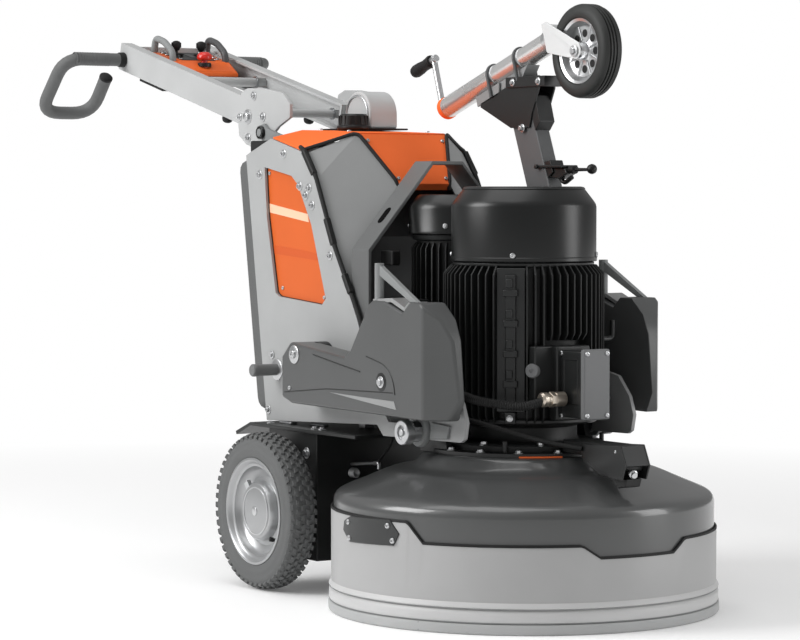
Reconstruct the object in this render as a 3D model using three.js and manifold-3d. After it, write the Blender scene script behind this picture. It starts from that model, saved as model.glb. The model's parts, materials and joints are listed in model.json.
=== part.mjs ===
// Walk-behind planetary floor grinder, in millimetres.
// +X is forward (towards the grinding head), +Y is the machine's left and +Z is up.
// Shapes are laid out from the grinding-head axis; the group is then moved so that its
// origin is on the floor under the middle of the machine.
import * as THREE from 'three';
import { mergeVertices } from 'three/addons/utils/BufferGeometryUtils.js';
import Module from 'manifold-3d';

const wasm = await Module();
wasm.setup();

// ---- driving dimensions ------------------------------------------------------------------
const HEAD_FROM_MIDDLE = 666.085; // from the middle of the machine to the head axis
const GAP = 0.3; // clearance between pieces that touch

const SKIRT = { rim: 408, outer: 402, inner: 399, band: 50, low: 150, mid: 175, high: 215 };
const HOOD = { outer: 397, wall: 5, hem: 140, shoulder: 250, crown: 297, crownR: 276, top: 330, topR: 205 };

const PLATE_Y = 216; // outer face of the side plates
const PLATE_T = 8;
const INNER_Y = PLATE_Y - PLATE_T; // inner face of the side plates

const WHEEL = { x: -543, r: 172, width: 66, middle: 306, bead: 114 };
const MAIN_MOTOR = {
  foot: 352, bottom: 392, finTop: 722, finR: 168, coreR: 138, bore: 92, cowlR: 151, top: 880,
};
const DRUM_MOTOR = {
  x: -260, bottom: 352, finTop: 778, finR: 92, coreR: 78, bore: 56, cowlR: 97, top: 863,
};

const HEAD_PIVOT = { x: -58, z: 376, y: 260, r: 20 };
const WEIGHT_PIVOT = { x: -434, z: 509 };
const WEIGHT_Y = [246, 300];
const REST_PEG = { x: -643, z: 473, r: 14, length: 66 };

const HANDLE = {
  pivotX: -831, pivotZ: 1004, barY: 128, slope: 13.8, frontX: -874, rearX: -1551, rearZ: 1239,
};
const GRIP = { x: -1537, z: 1196, r: 16, outY: 292, inY: 150, levelLift: 43.9 };
const MAST = { pivotX: -17, pivotZ: 450, middleY: 189, lean: 21.8, width: 80, depth: 36, top: 680 };
const JOCKEY = { x: -571, z: 1057, rise: 18.5, r: 24, bore: 20.5, length: 440 };
const JOCKEY_WHEEL = { x: -37, z: 1167, r: 100 };
const LOCK = { up: 486, r: 7, reach: 150, knobR: 12 };

const DISC = { r: 135, orbit: 248, bottom: 0, top: 44, count: 3 };
const DRUM = { r: 378, bottom: 62, top: 80, hubR: 90, hubTop: 240 };

// ---- finishes ----------------------------------------------------------------------------
const finish = (color, roughness, metalness) =>
  new THREE.MeshStandardMaterial({ color, roughness, metalness });
const lightGrey = finish(0xa9aaab, 0.5, 0.2);
const darkGrey = finish(0x57595b, 0.55, 0.2);
const black = finish(0x1d1d1e, 0.55, 0.1);
const orange = finish(0xf26a24, 0.4, 0.1);
const rubber = finish(0x3a3b3c, 0.85, 0);
const paleRubber = finish(0x8d8e8f, 0.9, 0);
const zinc = finish(0xc9cbcd, 0.25, 1);
const steel = finish(0x8e9092, 0.35, 0.9);
const red = finish(0xd22a1a, 0.35, 0.1);

// ---- geometry helpers --------------------------------------------------------------------
const degrees = THREE.MathUtils.degToRad;

// Merges shared corners and turns the faces outwards.
function closed(geometry) {
  const bare = geometry.clone();
  bare.deleteAttribute('normal');
  bare.deleteAttribute('uv');
  const merged = mergeVertices(bare, 1e-3);
  const index = Array.from(merged.index.array);
  const at = merged.attributes.position;
  const corner = [new THREE.Vector3(), new THREE.Vector3(), new THREE.Vector3()];
  const kept = [];
  let volume = 0;
  for (let i = 0; i < index.length; i += 3) {
    const [a, b, c] = index.slice(i, i + 3);
    if (a === b || b === c || a === c) continue;
    kept.push(a, b, c);
    corner[0].fromBufferAttribute(at, a);
    corner[1].fromBufferAttribute(at, b);
    corner[2].fromBufferAttribute(at, c);
    volume += corner[0].dot(corner[1].cross(corner[2]));
  }
  if (volume < 0) kept.reverse();
  merged.setIndex(kept);
  return merged;
}

function solid(geometry) {
  const shape = closed(geometry);
  return new wasm.Manifold(new wasm.Mesh({
    numProp: 3,
    vertProperties: new Float32Array(shape.attributes.position.array),
    triVerts: new Uint32Array(shape.index.array),
  }));
}

function geometryOf(manifold) {
  const mesh = manifold.getMesh();
  const geometry = new THREE.BufferGeometry();
  geometry.setAttribute('position', new THREE.BufferAttribute(new Float32Array(mesh.vertProperties), 3));
  geometry.setIndex(Array.from(mesh.triVerts));
  return geometry;
}

const join = (first, ...rest) => geometryOf(rest.reduce((sum, next) => sum.add(solid(next)), solid(first)));
const cut = (body, ...tools) =>
  geometryOf(tools.reduce((left, tool) => left.subtract(solid(tool)), solid(body)));

function box(x, y, z) {
  const geometry = new THREE.BoxGeometry(x[1] - x[0], y[1] - y[0], z[1] - z[0]);
  return geometry.translate((x[0] + x[1]) / 2, (y[0] + y[1]) / 2, (z[0] + z[1]) / 2);
}

// Outlines and holes alike run anticlockwise, whichever way their points are listed.
function outline(points) {
  const corners = points.map(([u, v]) => new THREE.Vector2(u, v));
  return new THREE.Shape(THREE.ShapeUtils.isClockWise(corners) ? corners.reverse() : corners);
}

// A shape in the X-Z plane, made as thick as the span y.
function sidePlate(shape, y, holes = []) {
  const flat = shape instanceof THREE.Shape ? shape : outline(shape);
  flat.holes = holes.map((hole) => outline(hole));
  const options = { depth: y[1] - y[0], bevelEnabled: false, curveSegments: 10 };
  const geometry = new THREE.ExtrudeGeometry(flat, options);
  return geometry.rotateX(Math.PI / 2).translate(0, y[1], 0);
}

// A shape in the Y-Z plane, made as thick as the span x.
function crossPlate(points, x) {
  const geometry = new THREE.ExtrudeGeometry(outline(points), { depth: x[1] - x[0], bevelEnabled: false });
  const turn = new THREE.Matrix4().makeBasis(
    new THREE.Vector3(0, 1, 0), new THREE.Vector3(0, 0, 1), new THREE.Vector3(1, 0, 0));
  return geometry.applyMatrix4(turn).translate(x[0], 0, 0);
}

// A closed [radius, height] profile turned about Z.
function turned(profile, segments = 48) {
  const points = profile.map(([r, z]) => new THREE.Vector2(r, z));
  return new THREE.LatheGeometry(points, segments).rotateX(Math.PI / 2);
}

// A profile turned about Y; heights run towards +Y when side is 1 and towards -Y when it is -1.
function turnedAcross(profile, side, segments = 48) {
  return turned(profile, segments).rotateX(-side * Math.PI / 2);
}

function rod(from, to, r, sides = 16) {
  const start = new THREE.Vector3(...from);
  const along = new THREE.Vector3(...to).sub(start);
  const geometry = new THREE.CylinderGeometry(r, r, along.length(), sides);
  const up = new THREE.Vector3(0, 1, 0);
  const turn = new THREE.Quaternion().setFromUnitVectors(up, along.clone().normalize());
  const middle = start.addScaledVector(along, 0.5);
  return geometry.applyQuaternion(turn).translate(middle.x, middle.y, middle.z);
}

const pinAcross = (x, z, y, r, sides = 16) => rod([x, y[0], z], [x, y[1], z], r, sides);

// A round tube through the points, with rounded corners of the given bend radius.
function bentTube(points, r, bend, sides = 12, steps = 40) {
  const p = points.map((point) => new THREE.Vector3(...point));
  const path = new THREE.CurvePath();
  let last = p[0];
  for (let i = 1; i < p.length - 1; i += 1) {
    const before = p[i].clone().add(p[i - 1].clone().sub(p[i]).setLength(bend));
    const after = p[i].clone().add(p[i + 1].clone().sub(p[i]).setLength(bend));
    path.add(new THREE.LineCurve3(last, before));
    path.add(new THREE.QuadraticBezierCurve3(before, p[i], after));
    last = after;
  }
  path.add(new THREE.LineCurve3(last, p[p.length - 1]));
  const section = new THREE.Shape();
  for (let i = 0; i < sides; i += 1) {
    const angle = (2 * Math.PI * i) / sides;
    const corner = [r * Math.cos(angle), r * Math.sin(angle)];
    if (i === 0) section.moveTo(...corner);
    else section.lineTo(...corner);
  }
  return new THREE.ExtrudeGeometry(section, { steps, extrudePath: path, bevelEnabled: false });
}

// A sheet over a grid of points (rows of equal length), thickened along the given vector.
function sheet(rows, thickness) {
  const width = rows[0].length;
  const upper = rows.flat();
  const lower = upper.map((point) => point.map((value, i) => value + thickness[i]));
  const count = upper.length;
  const faces = [];
  const quad = (a, b, c, d) => faces.push(a, b, d, b, c, d);
  for (let i = 0; i < rows.length - 1; i += 1) {
    for (let j = 0; j < width - 1; j += 1) {
      const a = i * width + j;
      quad(a, a + 1, a + 1 + width, a + width);
      faces.push(count + a, count + a + width, count + a + 1);
      faces.push(count + a + 1, count + a + width, count + a + 1 + width);
    }
  }
  const rim = [];
  for (let j = 0; j < width - 1; j += 1) rim.push(j);
  for (let i = 0; i < rows.length - 1; i += 1) rim.push(i * width + width - 1);
  for (let j = width - 1; j > 0; j -= 1) rim.push((rows.length - 1) * width + j);
  for (let i = rows.length - 1; i > 0; i -= 1) rim.push(i * width);
  rim.forEach((a, k) => {
    const b = rim[(k + 1) % rim.length];
    faces.push(a, count + a, b, b, count + a, count + b);
  });
  const geometry = new THREE.BufferGeometry();
  geometry.setAttribute('position', new THREE.Float32BufferAttribute([...upper, ...lower].flat(), 3));
  geometry.setIndex(faces);
  return geometry;
}

// A ring wall whose top edge follows topAt(angle in degrees from +X).
function ringWall(inner, outer, bottom, topAt, steps = 72) {
  const points = [];
  for (let i = 0; i < steps; i += 1) {
    const angle = (360 * i) / steps;
    const c = Math.cos(degrees(angle));
    const s = Math.sin(degrees(angle));
    const top = topAt(angle > 180 ? angle - 360 : angle);
    points.push([inner * c, inner * s, bottom], [outer * c, outer * s, bottom]);
    points.push([outer * c, outer * s, top], [inner * c, inner * s, top]);
  }
  const faces = [];
  for (let i = 0; i < steps; i += 1) {
    const here = 4 * i;
    const next = 4 * ((i + 1) % steps);
    for (let k = 0; k < 4; k += 1) {
      const l = (k + 1) % 4;
      faces.push(here + k, next + k, here + l, next + k, next + l, here + l);
    }
  }
  const geometry = new THREE.BufferGeometry();
  geometry.setAttribute('position', new THREE.Float32BufferAttribute(points.flat(), 3));
  geometry.setIndex(faces);
  return geometry;
}

const machine = new THREE.Group();
machine.position.x = HEAD_FROM_MIDDLE;

function add(name, geometry, material) {
  const shape = closed(geometry);
  shape.computeVertexNormals();
  const mesh = new THREE.Mesh(shape, material);
  mesh.name = name;
  machine.add(mesh);
  return mesh;
}

const SIDES = [['right', -1], ['left', 1]];
const span = (side, near, far) => (side > 0 ? [near, far] : [-far, -near]);

// ---- chassis: side plates and panels --------------------------------------------------------
const plateEdge = [
  [-690, 357], [-780, 951], [-671, 987], [-528, 954], [-485, 898], [-412, 754], [-329, 630], [-309, 596],
  [-290, 556], [-240, 520], [20, 487], [51, 481], [90, 440], [105, 402], [97, 368], [84, 361],
  [-206, 355], [-230, 377],
];
const windowEdge = [
  [-698, 924], [-581, 904], [-553, 884], [-529, 847], [-497, 797], [-437, 637], [-453, 623], [-635, 636],
  [-650, 644], [-688, 813],
];
const footNotch = [[-212, 418], [-186, 386], [-112, 386], [-92, 418]];

// Moves an outline outwards from its middle by about the given distance.
function grown(points, distance) {
  const cx = points.reduce((sum, p) => sum + p[0], 0) / points.length;
  const cz = points.reduce((sum, p) => sum + p[1], 0) / points.length;
  return points.map(([x, z]) => {
    const away = Math.hypot(x - cx, z - cz);
    return [x + ((x - cx) * distance) / away, z + ((z - cz) * distance) / away];
  });
}

function makeSidePlates() {
  for (const [name, side] of SIDES) {
    const plate = sidePlate(plateEdge, span(side, INNER_Y, PLATE_Y), [windowEdge, footNotch]);
    const axleY = span(side, INNER_Y - 5, PLATE_Y + 5);
    const axle = pinAcross(HEAD_PIVOT.x, HEAD_PIVOT.z, axleY, HEAD_PIVOT.r + GAP, 24);
    add(`side_plate_${name}`, cut(plate, axle), lightGrey);
    const panelY = span(side, INNER_Y - 4, INNER_Y - GAP);
    add(`window_panel_${name}`, sidePlate(grown(windowEdge, 12), panelY), orange);
  }
}

const TOP_Z = 1008;
const PANEL_TOP = [-465, 117, 997];
const PANEL_FOOT = [-376, 68, 886];

function makeTopCover() {
  const [x, y, z] = PANEL_TOP;
  const rear = [[-668, -211.5, 991], [-700, -y, TOP_Z], [-700, y, TOP_Z], [-668, 211.5, 991]];
  const front = [[-534, -211.5, 960], [x - 6, -y, z + 2], [x - 6, y, z + 2], [-534, 211.5, 960]];
  add('top_cover', sheet([rear, front], [0, 0, -4]), orange);
}

function makeFrontPanel() {
  const [x, y, z] = PANEL_TOP;
  const [fx, fy, fz] = PANEL_FOOT;
  const rows = [
    [[x, -y + 1, z - 1], [x, y - 1, z - 1]],
    [[fx, -fy + 1, fz], [fx, fy - 1, fz]],
    [[fx - 5, -fy + 1, fz - 12], [fx - 5, fy - 1, fz - 12]],
  ];
  add('front_panel', sheet(rows, [-4, 0, -2.5]), orange);
}

function makeCornerPanels() {
  const [x, y, z] = PANEL_TOP;
  const [fx, fy, fz] = PANEL_FOOT;
  const edge = INNER_Y - GAP;
  for (const [name, side] of SIDES) {
    const rows = [
      [[-530, edge, 954], [x, y, z - 2]],
      [[-484, edge, 898], [fx, fy, fz]],
      [[-410, edge, 754], [-362, 132, 765]],
      [[-357, edge, 658], [-359, edge - 24, 672]],
    ].map((row) => row.map(([px, py, pz]) => [px, side * py, pz]));
    add(`corner_panel_${name}`, sheet(rows, [-4, 0, -2]), lightGrey);
  }
}

// A bent sheet that lines the cabinet's top, front and floor, open to the rear.
function makeCabinetLiner() {
  const edge = [[-768, 905], [-672, 968], [-548, 940], [-508, 882], [-455, 770], [-455, 372], [-692, 372]];
  const inner = [[-692, 376], [-459, 376], [-459, 769], [-511, 880], [-550, 936], [-671, 964], [-766, 901]];
  const y = [-INNER_Y + GAP + 4, INNER_Y - GAP - 4];
  add('cabinet_liner', sidePlate([...edge, ...inner], y), darkGrey);
  add('inverter', box([-660, -480], [-120, 120], [430, 800]), steel);
}

const REAR_TILT = Math.atan2(90, 594); // lean of the cabinet's rear edge

// The rear door is a shallow tray: width along Y, height along its own leaning edge.
function makeRearDoor() {
  const height = 560;
  const half = 206;
  const slab = new THREE.ExtrudeGeometry(roundedRectangle(height, 2 * half, 24), {
    depth: 34, bevelEnabled: true, bevelSize: 5, bevelThickness: 5, bevelSegments: 1, curveSegments: 4,
  });
  const hollow = new THREE.BoxGeometry(height - 12, 2 * half - 12, 32);
  const tray = cut(slab, hollow.translate(0, 0, 4));
  // The tray's depth runs rearwards and its height upwards before it leans.
  tray.rotateY(-Math.PI / 2).rotateY(-REAR_TILT);
  add('rear_door', tray.translate(-744, 0, 664), darkGrey);
}

function roundedRectangle(width, height, corner) {
  const w = width / 2;
  const h = height / 2;
  const shape = new THREE.Shape();
  shape.moveTo(-w + corner, -h);
  shape.lineTo(w - corner, -h);
  shape.quadraticCurveTo(w, -h, w, -h + corner);
  shape.lineTo(w, h - corner);
  shape.quadraticCurveTo(w, h, w - corner, h);
  shape.lineTo(-w + corner, h);
  shape.quadraticCurveTo(-w, h, -w, h - corner);
  shape.lineTo(-w, -h + corner);
  shape.quadraticCurveTo(-w, -h, -w + corner, -h);
  return shape;
}

// ---- chassis: running gear frame -------------------------------------------------------------
function makeRunningGear() {
  const housing = box([-640, -437], [-240, 240], [66, 345.7]);
  add('axle_housing', cut(housing, box([-634, -443], [-234, 234], [72, 350])), black);
  const bend = [[-755, 322], [-692, 346], [-251, 346], [-251, 354], [-694, 354], [-758, 330]];
  const motorNotch = box([-385, -240], [-125, 125], [330, 370]);
  add('base_plate', cut(sidePlate(bend, [-258, 258]), motorNotch), black);
  for (const [name, side] of SIDES) {
    const y = span(side, PLATE_Y + GAP, PLATE_Y + REST_PEG.length);
    add(`rest_peg_${name}`, pinAcross(REST_PEG.x, REST_PEG.z, y, REST_PEG.r, 20), rubber);
  }
}

// A flat bar bent into a guard over the smaller motor.
function makeGuardLoop() {
  const t = 8;
  const foot = INNER_Y - GAP;
  const half = [[40, 935], [foot - 4, 746], [foot - 4, 500]];
  const inner = [[40 - 3, 935 - t], [foot - 4 - t, 746 - 5], [foot - 4 - t, 500]];
  const mirrored = (points) => points.map(([y, z]) => [-y, z]);
  const band = [...half, ...[...inner].reverse(), ...mirrored(inner), ...mirrored(half).reverse()];
  add('guard_loop', crossPlate(band, [-352, -283]), darkGrey);
}

// Half-drum saddle on the top cover that carries the hose, with its flat ends across the machine.
function makeHoseSaddle() {
  const r = 55;
  const arch = new THREE.Shape();
  arch.moveTo(-r, 0);
  arch.lineTo(-r, 30);
  arch.absarc(0, 30, r, Math.PI, 0, true);
  arch.lineTo(r, 0);
  const drum = sidePlate(arch, [31, 105]).translate(-700, 0, 1012.5);
  add('hose_saddle', drum, lightGrey);
}

// ---- wheels ------------------------------------------------------------------------------------
const half = WHEEL.width / 2;
const tyreProfile = [
  [WHEEL.bead, -half + 8], [WHEEL.bead + 8, -half + 1], [146, -half], [164, -half + 5],
  [WHEEL.r, -half + 20],
  [WHEEL.r, half - 20], [164, half - 5], [146, half], [WHEEL.bead + 8, half - 1], [WHEEL.bead, half - 8],
  [WHEEL.bead, -half + 8],
];
const hubFoot = 240.3 - WHEEL.middle; // the hub's inner end, just clear of the axle housing
const rimProfile = [
  [0, 26], [54, 24], [61, 18], [64, 5], [72, 0], [90, 6], [101, 20], [106, 28], [WHEEL.bead - 0.5, 29],
  [WHEEL.bead - 0.5, -29], [104, -26], [60, -18], [20, -18], [20, hubFoot], [0, hubFoot],
];

function makeRearWheels() {
  for (const [name, side] of SIDES) {
    const placed = (profile) =>
      turnedAcross(profile, side, 32).translate(WHEEL.x, side * WHEEL.middle, WHEEL.r);
    add(`tyre_${name}`, placed(tyreProfile), paleRubber);
    add(`rim_${name}`, placed(rimProfile), zinc);
  }
}

// ---- swinging weights ----------------------------------------------------------------------------
const weightEdge = [
  [-484, 425], [-484, 513], [-448, 545], [-230, 523], [-205, 538], [-134, 637], [-119, 645],
  [-75, 645], [-5, 624],
  [20, 645], [60, 645], [100, 612], [119, 570], [132, 448], [112, 407], [-445, 413],
];
const weightNose = [[68, 301], [137, 245], [200, 245], [200, 301]];

function planPrism(points, z) {
  const geometry = new THREE.ExtrudeGeometry(outline(points), { depth: z[1] - z[0], bevelEnabled: false });
  return geometry.translate(0, 0, z[0]);
}

function makeWeights() {
  const spacerY = PLATE_Y + GAP;
  const standX = -108;
  const standY = 288;
  const deck = 645 + GAP;
  for (const [name, side] of SIDES) {
    const block = sidePlate(weightEdge, span(side, WEIGHT_Y[0] - 10, WEIGHT_Y[1]));
    const nose = planPrism(weightNose.map(([x, y]) => [x, side * y]), [380, 680]);
    const spacer = pinAcross(WEIGHT_PIVOT.x, WEIGHT_PIVOT.z, span(side, spacerY, WEIGHT_Y[0]), 22, 24);
    add(`weight_${name}`, join(cut(block, nose), spacer), darkGrey);
    const stand = rod([standX, side * standY, deck], [standX, side * standY, 722], 10);
    const strap = [[standX, 722], [standX, 700], [16, deck], [42, deck]];
    const brace = sidePlate(strap, span(side, standY - 5, standY + 5));
    add(`weight_handle_${name}`, join(stand, brace), lightGrey);
  }
}

// ---- handle ------------------------------------------------------------------------------------
const slopeCos = Math.cos(degrees(HANDLE.slope));
const slopeSin = Math.sin(degrees(HANDLE.slope));
const BAR_HEIGHT = 66;
const BAR_WIDTH = 30;

// A point on the handle frame: along from its rear end, down from its top edge.
const onHandle = (along, down) => [
  HANDLE.rearX + along * slopeCos - down * slopeSin,
  HANDLE.rearZ - along * slopeSin - down * slopeCos,
];
const BAR_LENGTH = (HANDLE.frontX - HANDLE.rearX) / slopeCos;

function makeHandleFrame() {
  const bar = [
    onHandle(0, 0), onHandle(BAR_LENGTH, 0), onHandle(BAR_LENGTH, BAR_HEIGHT), onHandle(0, BAR_HEIGHT),
  ];
  const hollow = [
    onHandle(8, 6), onHandle(BAR_LENGTH - 8, 6), onHandle(BAR_LENGTH - 8, 60), onHandle(8, 60),
  ];
  const inside = HANDLE.barY - BAR_WIDTH;
  const parts = SIDES.map(([, side]) => cut(
    sidePlate(bar, span(side, inside, HANDLE.barY)),
    sidePlate(hollow, span(side, inside - 1, HANDLE.barY - 5)),
  ));
  const endPlate = [onHandle(0, 8), onHandle(6, 8), onHandle(6, BAR_HEIGHT), onHandle(0, BAR_HEIGHT)];
  const tray = [onHandle(62, 53), onHandle(240, 53), onHandle(240, 57), onHandle(62, 57)];
  const reach = [3 - HANDLE.barY, HANDLE.barY - 3];
  const rearTube = onHandle(294, 33);
  const frontTube = onHandle(BAR_LENGTH - 34, 30);
  add('handle_frame', join(
    parts[0], parts[1], sidePlate(endPlate, reach), sidePlate(tray, reach),
    pinAcross(...rearTube, reach, 11), pinAcross(...frontTube, reach, 10),
  ), lightGrey);
}

const bracketEdge = [
  [-941, 1098], [-913, 1108], [-845, 1106], [-755, 1093], [-720, 1067], [-721, 1036], [-773, 1016],
  [-808, 992], [-842, 980], [-880, 968], [-918, 978], [-951, 999], [-957, 1040],
];
const lugEdge = [
  [-852, 1004], [-842, 1020], [-822, 1024], [-806, 1012], [-700, 986], [-712, 974], [-784, 951],
  [-790, 957],
];
const hingeBase = [[-790, 949.5], [-712, 975.2], [-714, 982], [-792, 957]];

function makeHandleHinge() {
  const lugY = HANDLE.barY + 9;
  const shaft = { x: HANDLE.pivotX, z: HANDLE.pivotZ, r: 9 };
  const lugs = SIDES.map(([, side]) => sidePlate(lugEdge, span(side, lugY, lugY + 8)));
  const pins = SIDES.map(([, side]) =>
    pinAcross(shaft.x, shaft.z, span(side, HANDLE.barY - 8, lugY + 16), shaft.r));
  const base = sidePlate(hingeBase, [-200, 200]);
  add('handle_hinge_bracket', join(base, ...lugs, ...pins), lightGrey);
  for (const [name, side] of SIDES) {
    const plate = sidePlate(bracketEdge, span(side, HANDLE.barY + GAP, HANDLE.barY + 8.3));
    const hole = pinAcross(shaft.x, shaft.z, span(side, HANDLE.barY - 5, HANDLE.barY + 20), shaft.r + GAP);
    add(`handle_bracket_${name}`, cut(plate, hole), lightGrey);
  }
}

// The left grip is turned up level about its clamp; the right one hangs at an angle.
function makeHandleGrips() {
  const { x, z, r, outY, inY } = GRIP;
  for (const [name, side] of SIDES) {
    const route = [
      [0, side * (HANDLE.barY + GAP), 0], [0, side * outY, 0], [-135, side * outY, -130],
      [-135, side * inY, -130], [-55, side * inY, -43],
    ];
    const grip = bentTube(route, r, 42, 10, 30);
    if (side > 0) grip.rotateY(degrees(GRIP.levelLift));
    add(`handle_grip_${name}`, grip.translate(x, 0, z), rubber);
  }
}

// ---- radio remote control in its tray --------------------------------------------------------------
const REMOTE = { rear: 72, front: 226, halfWidth: 84, under: 52.5, deck: 6 };

function makeRemote() {
  const edge = [
    onHandle(REMOTE.rear, REMOTE.under), onHandle(REMOTE.rear, REMOTE.deck + 6),
    onHandle(REMOTE.rear + 8, REMOTE.deck),
    onHandle(REMOTE.front - 50, REMOTE.deck), onHandle(REMOTE.front, REMOTE.deck + 16),
    onHandle(REMOTE.front, REMOTE.under),
  ];
  const slots = [-35, 35].map((y) => {
    const [x, z] = onHandle(118, 0);
    return rod([x, y, z - 60], [x, y, z + 20], 9, 16);
  });
  const button = onHandle(REMOTE.front - 26, 0);
  const well = rod([button[0], 0, button[1] - 36], [button[0], 0, button[1] + 10], 8.5, 16);
  const shell = sidePlate(edge, [-REMOTE.halfWidth, REMOTE.halfWidth]);
  add('remote_body', join(cut(shell, ...slots, well), remoteHoop(-1), remoteHoop(1)), orange);
  makeRemoteControls(button);
}

// One of the two bows that guard the remote's levers.
function remoteHoop(side) {
  const y = side * (REMOTE.halfWidth - 10);
  const along = [REMOTE.rear + 14, REMOTE.front - 60];
  const points = [[along[0], 9], [along[0], -32], [along[1], -32], [along[1], 9]].map(([a, d]) => {
    const [x, z] = onHandle(a, d);
    return [x, y, z];
  });
  return bentTube(points, 6, 16, 8, 14);
}

function makeRemoteControls([bx, bz]) {
  const stem = rod([bx, 0, bz - 28], [bx, 0, bz + 3], 8, 16);
  const cap = rod([bx, 0, bz + 2], [bx, 0, bz + 14], 15, 20);
  add('emergency_stop', join(stem, cap), red);
  for (const [name, side] of SIDES) {
    const [x, z] = onHandle(118, 0);
    const y = side * 35;
    const stick = rod([x, y, z - 30], [x, y, z + 12], 4, 10);
    const paddle = new THREE.SphereGeometry(11, 14, 8).scale(1, 1.1, 1.3).translate(x, y, z + 16);
    add(`joystick_${name}`, join(stick, paddle), rubber);
  }
}

// ---- transport arm with its jockey wheel -------------------------------------------------------------
const leanCos = Math.cos(degrees(MAST.lean));
const leanSin = Math.sin(degrees(MAST.lean));
const riseCos = Math.cos(degrees(JOCKEY.rise));
const riseSin = Math.sin(degrees(JOCKEY.rise));

// A point on the mast: up from its pivot, forward of its middle line.
const onMast = (up, forward) => [
  MAST.pivotX - up * leanSin + forward * leanCos,
  MAST.pivotZ + up * leanCos + forward * leanSin,
];
// A point on the jockey tube: along from its rear end, above its axis.
const onJockey = (along, above) => [
  JOCKEY.x + along * riseCos - above * riseSin,
  JOCKEY.z + along * riseSin + above * riseCos,
];
const jockey3 = (along, above, y = MAST.middleY) => {
  const [x, z] = onJockey(along, above);
  return [x, y, z];
};

function makeMast() {
  const w = MAST.width / 2;
  const wall = 4;
  const y = [MAST.middleY - MAST.depth / 2, MAST.middleY + MAST.depth / 2];
  const plateY = [y[0] - wall, y[1] + wall];
  const tube = sidePlate([onMast(-38, -w), onMast(-38, w), onMast(MAST.top, w), onMast(MAST.top, -w)], y);
  const hollow = sidePlate(
    [onMast(-40, wall - w), onMast(-40, w - wall), onMast(560, w - wall), onMast(560, wall - w)],
    [y[0] + wall, y[1] - wall]);
  const cradle = sidePlate(
    [onJockey(150, -24.5), onJockey(395, -24.5), onJockey(395, -50), onJockey(150, -50)], plateY);
  const gusset = sidePlate([
    onJockey(165, -49), onJockey(390, -49), [-180, 1118], [-180, 1092], [-205, 1040], [-215, 1008],
    [-285, 1008], [-402, 1056],
  ], plateY);
  const pin = pinAcross(MAST.pivotX, MAST.pivotZ, [y[0], INNER_Y - GAP], 12);
  const lockBlock = sidePlate([
    onMast(LOCK.up - 16, w - 1), onMast(LOCK.up - 16, w + 60), onMast(LOCK.up + 16, w + 60),
    onMast(LOCK.up + 16, w - 1),
  ], y);
  const [lockX, lockZ] = onMast(LOCK.up, w);
  const boreFrom = [lockX - 100, MAST.middleY, lockZ];
  const boreTo = [lockX + 100, MAST.middleY, lockZ];
  const bore = rod(boreFrom, boreTo, LOCK.r + GAP, 12);
  add('transport_mast', cut(join(cut(tube, hollow), cradle, gusset, pin, lockBlock), bore), darkGrey);
  makeLockPlunger(lockX, lockZ);
}

function makeLockPlunger(x, z) {
  const stem = rod([x - 12, MAST.middleY, z], [x + LOCK.reach, MAST.middleY, z], LOCK.r, 12);
  const knob = new THREE.SphereGeometry(LOCK.knobR, 16, 10).translate(x + LOCK.reach + 6, MAST.middleY, z);
  add('lock_plunger', join(stem, knob), rubber);
}

function makeJockey() {
  const outer = rod(jockey3(0, 0), jockey3(JOCKEY.length, 0), JOCKEY.r, 24);
  const bore = rod(jockey3(8, 0), jockey3(JOCKEY.length + 10, 0), JOCKEY.bore, 24);
  const screwHole = rod(jockey3(-5, 0), jockey3(20, 0), 8.3, 16);
  add('jockey_tube', cut(outer, bore, screwHole), zinc);
  const inner = rod(jockey3(150, 0), jockey3(JOCKEY.length + 4, 0), JOCKEY.bore - 0.5, 24);
  const nut = rod(jockey3(149, 0), jockey3(JOCKEY.length - 20, 0), 9.5, 16);
  add('jockey_inner_tube', cut(inner, nut), steel);
  makeCrank();
  makeJockeyFork();
}

function makeCrank() {
  const screw = rod(jockey3(-18, 0), jockey3(260, 0), 8, 12);
  const arm = rod(jockey3(-12, -8), jockey3(-12, 132), 7, 12);
  add('jockey_crank', join(screw, arm), zinc);
  add('crank_grip', rod(jockey3(-20, 124), jockey3(-98, 124), 15, 16), rubber);
}

function makeJockeyFork() {
  const start = JOCKEY.length + 4 + GAP;
  const hub = [JOCKEY_WHEEL.x, JOCKEY_WHEEL.z];
  const wheelR = JOCKEY_WHEEL.r;
  const gap = 27;
  const cheek = [
    onJockey(start, 32), onJockey(start + 16, 32), [hub[0] + 14, hub[1] + 16], [hub[0] + 20, hub[1] - 4],
    [hub[0] + 6, hub[1] - 18], onJockey(start + 2, -34), onJockey(start, -30),
  ];
  const sides = [-1, 1].map((side) => {
    const y = [MAST.middleY + side * gap, MAST.middleY + side * (gap + 4)];
    return sidePlate(cheek, [Math.min(...y), Math.max(...y)]);
  });
  const bridge = sidePlate(
    [onJockey(start, 32), onJockey(start + 4, 32), onJockey(start + 4, -15), onJockey(start, -15)],
    [MAST.middleY - gap - 1, MAST.middleY + gap + 1]);
  const axle = pinAcross(...hub, [MAST.middleY - gap - 8, MAST.middleY + gap + 8], 6);
  add('jockey_fork', join(sides[0], sides[1], bridge, axle), zinc);
  const onAxle = (profile) => turnedAcross(profile, 1, 24).translate(hub[0], MAST.middleY, hub[1]);
  const tyre = [
    [70, -22], [80, -25], [94, -23], [wheelR, -16], [wheelR, 16], [94, 23], [80, 25], [70, 22], [70, -22],
  ];
  const rim = [
    [6.3, -24], [16, -24], [20, -6], [56, -6], [66, -20], [69.6, -20], [69.6, 20], [66, 20], [56, 6],
    [20, 6], [16, 24], [6.3, 24], [6.3, -24],
  ];
  add('jockey_tyre', onAxle(tyre), rubber);
  add('jockey_rim', onAxle(rim), zinc);
}

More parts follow.
